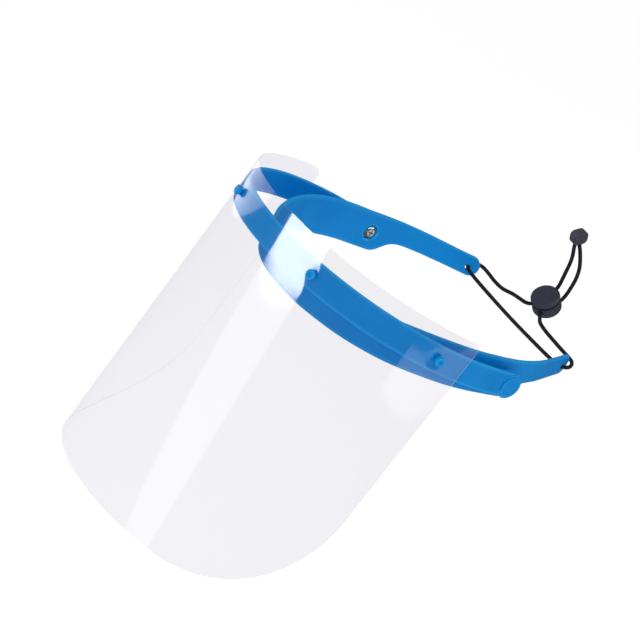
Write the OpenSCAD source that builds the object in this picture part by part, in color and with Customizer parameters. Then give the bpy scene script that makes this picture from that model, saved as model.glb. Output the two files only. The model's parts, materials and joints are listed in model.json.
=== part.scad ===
// Face shield: a headband, a tilting visor band, a clear sheet held by four pegs,
// and an elastic cord with a push-button cord lock.
// Frame: origin on the tilt axis midway between the two pivots, +X to the wearer's left,
// -Y to the front of the face, +Z up. Millimetres.

/* [Headband] */
// Width between the middles of the strip at the two pivots
head_w = 148; // [130:1:175]
// Thickness of the moulded strip
head_t = 2.2; // [1.6:0.1:3]
// Angle by which the strip spreads outward ahead of the pivots
head_flare = 5; // [0:1:9]
// Straight run ahead of each pivot
head_run = 16; // [8:1:24]
// Radius of the strip beside the temples
head_side_r = 107; // [90:1:125]
// Turn of the strip beside the temples, in degrees
head_side_turn = 45; // [38:1:50]
// Radius by which each rear arm curls inward
arm_r = 126; // [100:1:160]
// Turn of each rear arm, in degrees
arm_turn = 19.5; // [10:0.5:24]
// Straight run to the end of each rear arm
arm_run = 35.5; // [26:0.5:44]

/* [Visor band] */
// Distance at each pivot from the headband's middle out to the visor band's middle
pivot_spacing = 6; // [5.6:0.1:6.4]
// Height of the visor band
visor_h = 15.5; // [12:0.5:20]
// Thickness of the visor band
visor_t = 2.2; // [1.6:0.1:3]
// Angle by which the visor band spreads outward ahead of the pivots
visor_flare = 12; // [8:1:16]
// Straight run ahead of each pivot
visor_run = 22; // [14:1:30]
// Radius of the visor band at the sides
visor_side_r = 120; // [105:1:135]
// Turn of the visor band at the sides, in degrees
visor_side_turn = 40; // [34:1:45]
// Tilt of the visor above the headband's plane as stored, in degrees
visor_lift = 11; // [0:1:20]

/* [Clear sheet] */
// Thickness of the sheet
sheet_t = 0.5; // [0.3:0.05:1]
// Length of the sheet, measured along its curve
sheet_len = 291; // [240:1:320]
// Height of the sheet
sheet_h = 194; // [150:1:240]
// Height of the sheet above the visor band's upper edge
sheet_over = 9.5; // [6:0.5:14]
// Length of each rounded lower corner along the curve
corner_len = 82; // [40:1:100]
// Height of each rounded lower corner
corner_h = 69; // [40:1:90]
// Radius of the small upper corners
corner_top_r = 5; // [2:0.5:5.5]

/* [Pegs] */
// Distance of the front pegs from the middle, along the curve
peg_front = 41; // [30:0.5:60]
// Distance of the side pegs from the middle, along the curve
peg_side = 125.5; // [100:0.5:138]
// Diameter of a peg's neck
peg_neck_d = 3.6; // [2.6:0.1:4.2]
// Diameter of a peg's head
peg_head_d = 5.4; // [4.6:0.1:6.5]
// Diameter of the sheet's peg holes
peg_hole_d = 4.4; // [4.3:0.1:4.5]

/* [Pivots] */
// Diameter of the pivot screw's shank
screw_d = 4; // [3:0.5:5]
// Diameter of the pivot screw's pan head
screw_head_d = 8; // [7.5:0.1:8.5]
// Height of the pan head
screw_head_h = 2.5; // [1.8:0.1:3]
// Diameter of the round pivot end of the visor band
hub_d = 15.5; // [15:0.5:18]
// Diameter of the flat boss on the headband
boss_d = 15; // [13:0.5:16]
// Diameter of the cap that closes the pivot
cap_d = 13; // [12:0.5:14]
// Size of the nut across its flats
nut_flats = 7; // [6.5:0.1:7.2]
// Thickness of the nut
nut_t = 2.2; // [1.8:0.1:2.4]
// Thickness of the rubber friction washer
grip_t = 0.8; // [0.5:0.1:1.2]

/* [Cord] */
// Diameter of the elastic cord
cord_d = 2.4; // [2:0.1:2.8]
// Diameter of the cord hole in each arm
arm_hole_d = 4; // [3.4:0.1:4.6]
// Distance of the cord hole from the arm's end
arm_hole_in = 7.5; // [6:0.1:8]

/* [Cord lock] */
// Diameter of the cord lock
lock_d = 18; // [17.5:0.5:20]
// Travel of the push button
press = 1.6; // [1.2:0.1:1.8]
// Distance between the two cord holes
lock_pitch = 8.6; // [8.2:0.1:8.8]
// Diameter of the cord holes
lock_hole_d = 3.4; // [3.2:0.1:3.6]

/* [Cord end] */
// Length of the clip that joins the cord's two ends
clip_len = 10; // [9.5:0.5:14]
// Thickness of the clip
clip_t = 6.2; // [5.8:0.2:9]
// Height of the clip
clip_h = 8.5; // [8:0.5:12]

/* [Hidden] */
$fn = 48;

blue = [0.03, 0.47, 0.78];
dark_grey = [0.22, 0.22, 0.28];

turn_step = 3;      // degrees of arc that one flat of a curved strip covers
eps = 0.01;         // overshoot of a cut past the face it leaves
fit = 0.05;         // gap all round between pieces that seat in each other
slack = 0.15;       // gap all round between the sheet and the visor band

visor_w = head_w + 2 * pivot_spacing;   // between the visor band's middles at the pivots

// ---- plan curves: each point is [x, y, angle of the outward normal] ----

function wall_point(centre, r, a) = [centre[0] + r * cos(a), centre[1] + r * sin(a), a];
function shifted(p, o) = [p[0] + o * cos(p[2]), p[1] + o * sin(p[2])];
function mirrored(points) = [for (p = points) [-p[0], p[1]]];
function reversed(list) = [for (i = [len(list) - 1:-1:0]) list[i]];
function steps(turn) = max(2, ceil(turn / turn_step));

// a strip from a pivot to the front: a straight run, a side arc, and a front arc that
// is tangent to it and centred on the middle plane
function run_end(w, flare, run) = [w / 2 + run * sin(flare), -run * cos(flare)];
function side_centre(w, flare, run, r) =
    run_end(w, flare, run) - r * [cos(flare), sin(flare)];
function front_start(w, flare, run, r, turn) =
    wall_point(side_centre(w, flare, run, r), r, flare - turn);
function front_r(w, flare, run, r, turn) =
    front_start(w, flare, run, r, turn)[0] / cos(flare - turn);
function front_centre(w, flare, run, r, turn) =
    [0, front_start(w, flare, run, r, turn)[1] - front_r(w, flare, run, r, turn) * sin(flare - turn)];

function strip_path(w, flare, run, r, turn) = let(
        side_c = side_centre(w, flare, run, r),
        front_c = front_centre(w, flare, run, r, turn),
        fr = front_r(w, flare, run, r, turn),
        n1 = steps(turn),
        n2 = steps(90 + flare - turn))
    concat([[w / 2, 0, flare]],
        [for (i = [0:n1]) wall_point(side_c, r, flare - turn * i / n1)],
        [for (i = [1:n2]) wall_point(front_c, fr, flare - turn - (90 + flare - turn) * i / n2)]);

// closed outline of a strip of thickness t whose middle line is the path and its mirror image
function strip_outline(path, t) = let(
        outer = [for (p = path) shifted(p, t / 2)],
        inner = [for (p = path) shifted(p, -t / 2)])
    concat(outer, reversed(mirrored(outer)), mirrored(inner), reversed(inner));

// smooth curve through a list of points, with n pieces between neighbours
function blend_point(a, b, c, d, t) = 0.5 * ((2 * b) + (c - a) * t
    + (2 * a - 5 * b + 4 * c - d) * t * t + (3 * b - a - 3 * c + d) * t * t * t);
function smooth_curve(p, n) = let(last = len(p) - 1)
    concat([for (i = [0:last - 1]) for (k = [0:n - 1])
        blend_point(p[max(i - 1, 0)], p[i], p[i + 1], p[min(i + 2, last)], k / n)], [p[last]]);

// ---- headband ----

arm_centre = [head_w / 2, 0] - arm_r * [cos(head_flare), sin(head_flare)];
arm_end_angle = head_flare + arm_turn;
arm_bend_end = wall_point(arm_centre, arm_r, arm_end_angle);
arm_dir = [-sin(arm_end_angle), cos(arm_end_angle)];
arm_tip = [arm_bend_end[0], arm_bend_end[1]] + arm_run * arm_dir;
arm_path = concat([[arm_tip[0], arm_tip[1], arm_end_angle]],
    [for (i = [0:steps(arm_turn) - 1])
        wall_point(arm_centre, arm_r, arm_end_angle - arm_turn * i / steps(arm_turn))]);
head_path = strip_path(head_w, head_flare, head_run, head_side_r, head_side_turn);
head_front = -head_path[len(head_path) - 1][1];
arm_hole = arm_tip - arm_hole_in * arm_dir;

// edges of the headband seen from the side, as [y, z], from the front to the rear;
// the y values are shares of the front's reach ahead of the pivots and of the arm's behind
arm_reach = arm_tip[1];
tip_h = 13;
tip_z = 1.2;
tip_y = tip_h / 2 * cos(arm_end_angle);
head_top = smooth_curve([[-1.06, 14.6], [-0.95, 15.7], [-0.8, 17.7], [-0.63, 18.7], [-0.46, 18.2],
    [-0.3, 16.8], [-0.14, 14.9], [0, 13.1], [0.27, 11.4], [0.54, 9.8], [0.8, 8.2]], 3);
head_low = smooth_curve([[-1.06, -2.7], [-0.95, -3.1], [-0.84, -4.4], [-0.68, -5.9], [-0.5, -6.7],
    [-0.34, -7.9], [-0.18, -9.3], [-0.04, -10.9], [0.055, -11.7], [0.11, -10.9], [0.16, -8.2],
    [0.21, -5.2], [0.265, -3.5], [0.34, -3.0], [0.47, -3.3], [0.65, -3.9], [0.84, -4.8]], 3);
function to_side(p) = [p[0] * (p[0] < 0 ? head_front : arm_reach), p[1]];
arm_round = [for (a = [80:-20:-80])
    [arm_reach - tip_y + tip_y * cos(a), tip_z + tip_h / 2 * sin(a)]];
head_side = concat([for (p = head_top) to_side(p)], arm_round,
    reversed([for (p = head_low) to_side(p)]));

// ---- visor band and sheet, in the visor's own untilted frame ----

visor_path = strip_path(visor_w, visor_flare, visor_run, visor_side_r, visor_side_turn);
visor_front = -visor_path[len(visor_path) - 1][1];
front_c = front_centre(visor_w, visor_flare, visor_run, visor_side_r, visor_side_turn);
front_arc_r = front_r(visor_w, visor_flare, visor_run, visor_side_r, visor_side_turn);
side_c = side_centre(visor_w, visor_flare, visor_run, visor_side_r);
front_arc_len = front_arc_r * (90 + visor_flare - visor_side_turn) * PI / 180;
side_arc_len = visor_side_r * visor_side_turn * PI / 180;
visor_run_end = run_end(visor_w, visor_flare, visor_run);
band_rise = 0.75;               // the band ahead of the pivots sits this much above the axis
band_top = band_rise + visor_h / 2;

// the point of the visor curve at distance s from the middle of the front, for s from 0
function visor_at(s) = s <= front_arc_len
    ? wall_point(front_c, front_arc_r, -90 + s / front_arc_r * 180 / PI)
    : s <= front_arc_len + side_arc_len
    ? wall_point(side_c, visor_side_r,
        visor_flare - visor_side_turn + (s - front_arc_len) / visor_side_r * 180 / PI)
    : let(back = s - front_arc_len - side_arc_len)
        [visor_run_end[0] - back * sin(visor_flare), visor_run_end[1] + back * cos(visor_flare),
        visor_flare];

sheet_mid = visor_t / 2 + slack + sheet_t / 2;      // offset of the sheet from the band's middle
sheet_end = sheet_len / 2;
sheet_top = band_top + sheet_over;
sheet_low = sheet_top - sheet_h;
sheet_n = 48;
sheet_path = [for (i = [sheet_n:-1:0]) let(p = visor_at(sheet_end * i / sheet_n),
    q = shifted(p, sheet_mid)) [q[0], q[1], p[2]]];

corner_n = 14;
function corner_y(s) = shifted(visor_at(s), sheet_mid)[1];
lower_corner = [for (i = [0:corner_n]) let(u = 90 * i / corner_n)
    [corner_y(sheet_end - corner_len + corner_len * sin(u)), sheet_low + corner_h * (1 - cos(u))]];
upper_corner = [for (i = [0:6]) let(u = 15 * i)
    [corner_y(sheet_end - corner_top_r + corner_top_r * cos(u)),
    sheet_top - corner_top_r + corner_top_r * sin(u)]];
sheet_side = concat([[-visor_front - 20, sheet_low]], lower_corner, upper_corner,
    [[-visor_front - 20, sheet_top]]);

// ---- pivots: places along the axis, from the inside outward ----

clear_r = 0.08;                                     // running clearance round the screw
boss_x = head_w / 2 + head_t / 2 + 1.7;             // outer face of the headband's boss
boss_floor = 1.5;
seat_x = boss_x - boss_floor;                       // floor of the screw head's counterbore
washer_t = 0.6;
washer_d = screw_head_d + 1;
seat_d = washer_d + 0.6;
head_x = seat_x - washer_t;                         // underside of the screw head
hub_in_x = boss_x + grip_t + fit;                   // inner face of the visor's hub
hub_floor = 1;
nut_x = hub_in_x + hub_floor;
cap_seat_x = nut_x + nut_t + 0.2;
cap_plug = 1.3;
hub_out_x = cap_seat_x + cap_plug + 0.1;
cap_proud = 0.9;
plug_d = cap_d - 2.4;

// ---- elastic cord: hand-chosen points on its middle line ----

cord_points = [[0, 81.1, 57.6], [0, 82.4, 54.8], [-0.2, 83.6, 52.2], [-0.9, 86.3, 48.2],
    [-2, 89.2, 44], [-3.2, 91.9, 38.5], [-4, 93.5, 33], [-4.3, 94.6, 27.5], [-4.2, 94.9, 22.3],
    [-4.1, 93.3, 17.8], [-4.1, 90.4, 15], [-4.1, 87.5, 12.3], [-4.1, 84.6, 9.5], [-4.9, 82, 7.1],
    [-7.8, 80.3, 5.7], [-13, 79.4, 5], [-19, 78.4, 4.1], [-26, 76.8, 2.5], [-34, 76.6, 2.1],
    [-42, 76.6, 2.7], [-47.5, 76.4, 3], [-51.2, 75.2, 2.7], [-53.6, 72.6, 1.8], [-53.8, 69.6, 0.8],
    [-51.4, 67.2, 0], [-46, 65.6, -0.6], [-30, 65.2, -1.2], [0, 65, -1.6], [30, 65.2, -1.2],
    [46, 65.6, -0.6], [51.4, 67.2, 0], [53.8, 69.6, 0.8], [53.6, 72.6, 1.8], [51.2, 75.2, 2.7],
    [47.5, 76.4, 3.2], [40, 75.8, 3.6], [30, 75.6, 4], [21, 75.7, 4.4], [13.5, 76.8, 5],
    [8.6, 79.6, 6], [5.2, 82, 7.2], [4.5, 84.6, 9.5], [4.5, 87.5, 12.3], [4.5, 90.4, 15],
    [4.5, 93.3, 17.8], [4.3, 95, 22.2], [4.3, 95.3, 28], [4.2, 95, 34.5], [3.4, 93.6, 41],
    [2, 91, 47], [0.7, 88.3, 51.8], [0.1, 86.8, 54], [0, 85.6, 56.4], [0, 84.3, 59.2]];
cord_sides = 8;

function unit(v) = v / norm(v);
function tangent_at(p, i) = unit(p[min(i + 1, len(p) - 1)] - p[max(i - 1, 0)]);
// carries a side direction along the curve without letting it spin
function carried(side, tangent) = unit(side - (side * tangent) * tangent);
function sides_along(p, i, side) = i == len(p) ? []
    : let(here = carried(side, tangent_at(p, i))) concat([here], sides_along(p, i + 1, here));

module swept_tube(points, d, sides, first_side) {
    side = sides_along(points, 0, first_side);
    n = len(points);
    corners = [for (i = [0:n - 1]) for (k = [0:sides - 1])
        let(a = 360 * k / sides, across = cross(tangent_at(points, i), side[i]))
        points[i] + d / 2 * (cos(a) * side[i] + sin(a) * across)];
    polyhedron(corners, concat([[for (k = [0:sides - 1]) k]],
        [for (i = [0:n - 2]) for (k = [0:sides - 1]) let(j = (k + 1) % sides)
            [i * sides + j, i * sides + k, (i + 1) * sides + k, (i + 1) * sides + j]],
        [[for (k = [sides - 1:-1:0]) (n - 1) * sides + k]]), convexity = 10);
}

// ---- cord lock, along its own axis: z is the push axis, y is the cord holes' axis ----

lock_place = [0.2, 87, 12.9];
lock_tilt = 43.5;
cord_z = -0.8;                                      // cord holes
rim_z = cord_z + lock_hole_d / 2 + 0.4;             // shoulder that the cap stops on
cap_z = rim_z + press + 0.1;                        // lower edge of the cap's skirt
neck_z = cap_z + 0.2;                               // top of the body's neck
ceiling_z = neck_z + press + 0.1;
dome_z = ceiling_z + 1.7;
slot_z = cord_z - cord_d / 2 - fit;                 // lower edge of the button's cord slots
stem_z = slot_z - 1.2;
floor_z = stem_z - press - 0.15;
base_z = floor_z - 1.4;
stem_r = 6;
bore_r = stem_r + 0.08;
neck_r = bore_r + 1.3;
skirt_r = neck_r + 0.2;
web = lock_pitch / 2 - cord_d / 2 - 0.25;           // half width of the web between the cords
spring_r = 1.7;
spring_wire = 0.45;
spring_well_r = spring_r + spring_wire / 2 + 0.25;
spring_top = ceiling_z - 2;

// ---- cord end clip, along its own axis: z points away from the cord ----

clip_place = [0, 82.1, 59.7];
clip_tilt = 25;
clip_wall = 1;
knot_d = 3.2;
knot_pitch = 3.6;
knot_z = -1.4;

// ================= modules =================

module along_x() { rotate([90, 0, 90]) children(); }
module both_sides() { for (m = [0, 1]) mirror([m, 0, 0]) children(); }
module tilted() { rotate([-visor_lift, 0, 0]) children(); }
// a cylinder along X from x0 to x1
module x_rod(x0, x1, d) { translate([x0, 0, 0]) rotate([0, 90, 0]) cylinder(h = x1 - x0, d = d); }
module x_ring(x0, x1, d, hole) {
    difference() {
        x_rod(x0, x1, d);
        x_rod(x0 - eps, x1 + eps, hole);
    }
}
module side_prism(outline) {
    along_x() translate([0, 0, -visor_w]) linear_extrude(2 * visor_w) polygon(outline);
}
// puts children on the arm's middle line at the cord hole, with their z along the hole
module at_arm_hole() {
    translate([arm_hole[0], arm_hole[1], 0]) rotate([0, 90, arm_end_angle]) children();
}

module headband() {
    color(blue) difference() {
        union() {
            intersection() {
                translate([0, 0, -20]) linear_extrude(50)
                    polygon(strip_outline(concat(arm_path, head_path), head_t));
                side_prism(head_side);
            }
            both_sides() x_rod(head_w / 2 - head_t / 2 + 0.2, boss_x, boss_d);
        }
        both_sides() {
            x_rod(head_w / 2 - 10, boss_x + 10, screw_d + 2 * clear_r);
            x_rod(head_w / 2 - 10, seat_x, seat_d);
            at_arm_hole() cylinder(h = 20, d = arm_hole_d, center = true);
        }
    }
}

module peg() {
    neck = visor_t / 2 + 2 * slack + sheet_t + 0.1;
    top = neck + 3.2;
    r = peg_head_d / 2;
    rotate_extrude() polygon([[0, 0], [peg_neck_d / 2, 0], [peg_neck_d / 2, neck], [r - 0.3, neck],
        [r, neck + 0.4], [r, top - 0.9], [r - 0.3, top - 0.35], [r - 0.9, top], [0.9, top],
        [0, top - 0.7]]);
}
module at_visor(s) {
    p = visor_at(s);
    translate([p[0], p[1], band_rise]) rotate([0, 90, p[2]]) children();
}

module visor_band() {
    band_side = [[-visor_front - 10, band_top], [-30, band_top], [0, visor_h / 2],
        [0, -visor_h / 2], [-30, band_top - visor_h], [-visor_front - 10, band_top - visor_h]];
    color(blue) tilted() difference() {
        union() {
            intersection() {
                translate([0, 0, -20]) linear_extrude(40)
                    polygon(strip_outline(visor_path, visor_t));
                side_prism(band_side);
            }
            both_sides() x_rod(hub_in_x, hub_out_x, hub_d);
            both_sides() for (s = [peg_front, peg_side]) at_visor(s) peg();
        }
        both_sides() {
            x_rod(hub_in_x - 10, hub_in_x, hub_d + 6);
            x_rod(hub_in_x - 1, hub_out_x + 10, screw_d + 2 * fit);
            translate([nut_x, 0, 0]) rotate([0, 90, 0])
                cylinder(h = 20, d = (nut_flats + 2 * fit) / cos(30), $fn = 6);
            x_rod(cap_seat_x, hub_out_x + 10, plug_d + 2 * fit);
            x_rod(hub_out_x, hub_out_x + 10, hub_d + 2);
        }
    }
}

module shield_sheet() {
    color([0.9, 0.93, 0.97, 0.3]) tilted() difference() {
        intersection() {
            translate([0, 0, sheet_low - 10]) linear_extrude(sheet_h + 20)
                polygon(strip_outline(sheet_path, sheet_t));
            side_prism(sheet_side);
        }
        both_sides() for (s = [peg_front, peg_side]) at_visor(s) cylinder(h = 20, d = peg_hole_d);
    }
}

// the pivot's pieces are drawn for the left side, +X, and mirrored for the right
module pivot_screw() {
    r = screw_head_d / 2;
    color([0.85, 0.85, 0.88]) tilted() {
        difference() {
            translate([head_x, 0, 0]) rotate([0, -90, 0]) rotate_extrude()
                polygon(concat([[0, 0], [r, 0]],
                    [for (a = [0:15:90]) [r - 1.5 + 1.5 * cos(a), screw_head_h - 1.5 + 1.5 * sin(a)]],
                    [[0, screw_head_h]]));
            for (turn = [0, 90]) translate([head_x - screw_head_h - eps, 0, 0]) rotate([turn, 0, 0])
                translate([0, -2.2, -0.45]) cube([1.5, 4.4, 0.9]);
        }
        x_rod(head_x, nut_x + nut_t + 0.1, screw_d);
    }
}
module screw_washer() { color([0.7, 0.7, 0.73]) x_ring(head_x, seat_x, washer_d, screw_d + 0.4); }
module friction_washer() {
    color([0.12, 0.12, 0.13]) x_ring(boss_x, boss_x + grip_t, boss_d - 0.6, screw_d + 0.4);
}
module pivot_nut() {
    color([0.8, 0.68, 0.38]) tilted() difference() {
        translate([nut_x, 0, 0]) rotate([0, 90, 0])
            cylinder(h = nut_t, d = nut_flats / cos(30), $fn = 6);
        x_rod(nut_x - 1, nut_x + nut_t + 1, screw_d + 0.04);
    }
}
module pivot_cap() {
    color(blue) tilted() translate([hub_out_x, 0, 0]) rotate([0, 90, 0]) rotate_extrude()
        polygon([[0, -0.3], [plug_d / 2 - 1, -0.3], [plug_d / 2 - 1, -cap_plug],
            [plug_d / 2, -cap_plug], [plug_d / 2, 0], [cap_d / 2, 0], [cap_d / 2, cap_proud - 0.35],
            [cap_d / 2 - 0.35, cap_proud], [0, cap_proud]]);
}

module elastic_cord() {
    color([0.07, 0.07, 0.09]) swept_tube(cord_points, cord_d, cord_sides, [1, 0, 0]);
}

module at_lock() { translate(lock_place) rotate([lock_tilt, 0, 0]) children(); }
// both cords' holes through the lock, with mouths that open outward
module lock_holes() {
    mouth = 2;
    for (x = [-1, 1]) translate([x * lock_pitch / 2, 0, cord_z]) {
        rotate([90, 0, 0]) cylinder(h = lock_d + 4, d = lock_hole_d, center = true);
        for (end = [-1, 1]) translate([0, end * (lock_d / 2 + 0.5), 0]) rotate([end * 90, 0, 0])
            cylinder(h = 4, d1 = lock_hole_d + 2 * mouth, d2 = lock_hole_d);
    }
}

module cord_lock_body() {
    r = lock_d / 2;
    round = 2.2;
    color(dark_grey) at_lock() difference() {
        rotate_extrude() polygon(concat([[0, base_z]],
            [for (a = [-90:15:0]) [r - round + round * cos(a), base_z + round + round * sin(a)]],
            [[r, rim_z - 0.3], [r - 0.3, rim_z], [neck_r, rim_z], [neck_r, neck_z],
            [bore_r, neck_z], [bore_r, floor_z], [0, floor_z]]));
        lock_holes();
    }
}
module cord_lock_button() {
    r = lock_d / 2;
    rise = dome_z - cap_z - 1.2;
    color(dark_grey) at_lock() difference() {
        rotate_extrude() polygon(concat([[0, stem_z], [stem_r, stem_z], [stem_r, ceiling_z],
            [skirt_r, ceiling_z], [skirt_r, cap_z], [r - 0.3, cap_z], [r, cap_z + 0.3]],
            [for (a = [0:10:90]) [r * pow(cos(a), 0.55), cap_z + 1.2 + rise * pow(sin(a), 0.9)]]));
        for (x = [-1, 1]) scale([x, 1, 1]) translate([web, -lock_d, slot_z])
            cube([lock_d, 2 * lock_d, cord_d + press + 1.1]);
        translate([0, 0, stem_z - 1]) cylinder(h = spring_top - stem_z + 1, r = spring_well_r);
    }
}
module cord_lock_spring() {
    turns = 7;
    per_turn = 12;
    low = floor_z + spring_wire / 2 + 0.02;
    high = spring_top - spring_wire / 2 - 0.02;
    coil = [for (i = [0:turns * per_turn]) let(a = 360 * i / per_turn)
        [spring_r * cos(a), spring_r * sin(a), low + (high - low) * i / (turns * per_turn)]];
    color([0.75, 0.75, 0.78]) at_lock() swept_tube(coil, spring_wire, 6, [1, 0, 0]);
}

module at_clip() { translate(clip_place) rotate([clip_tilt, 0, 0]) children(); }
module clip_block(grow) {
    round = 2 + grow;
    hull() for (y = [-1, 1]) for (z = [-1, 1])
        translate([0, y * (clip_len / 2 + grow - round), z * (clip_h / 2 + grow - round)])
            rotate([0, 90, 0]) cylinder(h = clip_t + 2 * grow, r = round, center = true, $fn = 32);
}
// one half of the clip: the part of the hollow block on the +X side
module clip_half() {
    difference() {
        clip_block(0);
        clip_block(-clip_wall);
        translate([-clip_t - fit / 2, -clip_len, -clip_h]) cube([clip_t + fit, 2 * clip_len, 2 * clip_h]);
        for (y = [-1, 1]) translate([0, y * knot_pitch / 2, -clip_h])
            cylinder(h = clip_h, d = cord_d + 0.6);
        // gripping ridges are left between shallow grooves across the outer face
        for (z = [-1.8, 0, 1.8]) translate([clip_t / 2 + 0.15, 0, z]) rotate([90, 0, 0])
            cylinder(h = clip_len + 2, r = 0.45, center = true);
    }
}
module cord_end_base() { color(dark_grey) at_clip() mirror([1, 0, 0]) clip_half(); }
module cord_end_lid() { color(dark_grey) at_clip() clip_half(); }
module cord_knots() {
    color([0.07, 0.07, 0.09]) at_clip() for (y = [-1, 1])
        translate([0, y * knot_pitch / 2, knot_z]) cylinder(h = 3.4, d = knot_d);
}

headband();
visor_band();
shield_sheet();
pivot_screw();  // pivot_screw_left
mirror([1, 0, 0]) pivot_screw();  // pivot_screw_right
screw_washer();  // screw_washer_left
mirror([1, 0, 0]) screw_washer();  // screw_washer_right
friction_washer();  // friction_washer_left
mirror([1, 0, 0]) friction_washer();  // friction_washer_right
pivot_nut();  // pivot_nut_left
mirror([1, 0, 0]) pivot_nut();  // pivot_nut_right
pivot_cap();  // pivot_cap_left
mirror([1, 0, 0]) pivot_cap();  // pivot_cap_right
elastic_cord();
cord_lock_body();
cord_lock_button();
cord_lock_spring();
cord_end_base();
cord_end_lid();
cord_knots();
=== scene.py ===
"""Face shield with a forehead band, a tilting visor band, a clear film and an elastic cord.

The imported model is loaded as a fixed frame. The moulded bands, the pegs, the clear film, the
cord, its lock and its end clip are then built again in finer detail in the same places, and
every piece is dressed with a procedural finish. Lengths are in metres.
"""

from __future__ import annotations

import json
import logging
import math
from dataclasses import dataclass, field
from enum import Enum
from typing import Callable, Sequence

import bmesh
import bpy
from mathutils import Matrix, Vector

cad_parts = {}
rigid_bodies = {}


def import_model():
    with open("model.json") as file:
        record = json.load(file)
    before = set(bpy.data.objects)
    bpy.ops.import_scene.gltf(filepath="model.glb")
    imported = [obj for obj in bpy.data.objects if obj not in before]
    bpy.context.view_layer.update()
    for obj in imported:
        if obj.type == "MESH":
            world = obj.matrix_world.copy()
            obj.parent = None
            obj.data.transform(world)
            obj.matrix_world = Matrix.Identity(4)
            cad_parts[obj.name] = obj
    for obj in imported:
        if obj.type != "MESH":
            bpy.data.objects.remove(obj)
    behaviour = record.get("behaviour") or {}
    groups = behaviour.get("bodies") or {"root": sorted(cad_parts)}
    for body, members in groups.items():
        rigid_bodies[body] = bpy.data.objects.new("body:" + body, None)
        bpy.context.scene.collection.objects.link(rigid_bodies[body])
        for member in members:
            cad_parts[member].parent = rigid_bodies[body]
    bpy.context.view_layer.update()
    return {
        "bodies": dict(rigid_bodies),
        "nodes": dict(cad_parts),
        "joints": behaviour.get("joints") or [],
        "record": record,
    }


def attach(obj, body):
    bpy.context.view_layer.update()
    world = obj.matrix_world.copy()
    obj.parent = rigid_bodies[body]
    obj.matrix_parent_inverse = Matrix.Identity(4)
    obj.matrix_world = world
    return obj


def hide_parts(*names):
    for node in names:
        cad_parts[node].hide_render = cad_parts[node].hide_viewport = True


LOG = logging.getLogger("face_shield")
MM = 0.001
SHARP = math.radians(32)  # faces that meet at a wider angle keep a sharp edge
ROUND_OVER = math.radians(55)  # a strip's edges that turn further than this are rounded
EDGE_GAIN = 5.0  # how quickly a standing corner takes the painted edge highlight colour


class Side(Enum):
    """The wearer's left or right side, as the sign of X."""

    LEFT = 1
    RIGHT = -1


class Body(Enum):
    """The bodies that move apart from each other."""

    HEADBAND = "headband"
    VISOR = "visor"
    LOCK = "cord_lock"
    BUTTON = "cord_lock_button"


class Slot(Enum):
    """The finishes that the pieces take."""

    BAND = "band_plastic"
    SHEET = "clear_sheet"
    CHROME = "chrome"
    STEEL = "steel"
    RUBBER = "rubber"
    BRASS = "brass"
    CORD = "cord"
    LOCK = "lock_plastic"


# ---------------------------------------------------------------- shader groups


def new_group(name: str, inputs: Sequence[tuple[str, str, float]],
              outputs: Sequence[tuple[str, str]]) -> bpy.types.NodeTree:
    """Makes an empty shader group with its sockets.

    Args:
        name: The group's name.
        inputs: Name, socket type and default of each input.
        outputs: Name and socket type of each output.

    Returns:
        The new group.
    """
    group = bpy.data.node_groups.new(name, "ShaderNodeTree")
    for label, kind, default in inputs:
        socket = group.interface.new_socket(label, in_out="INPUT", socket_type=kind)
        if kind == "NodeSocketFloat":
            socket.default_value = default
    for label, kind in outputs:
        group.interface.new_socket(label, in_out="OUTPUT", socket_type=kind)
    return group


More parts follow.
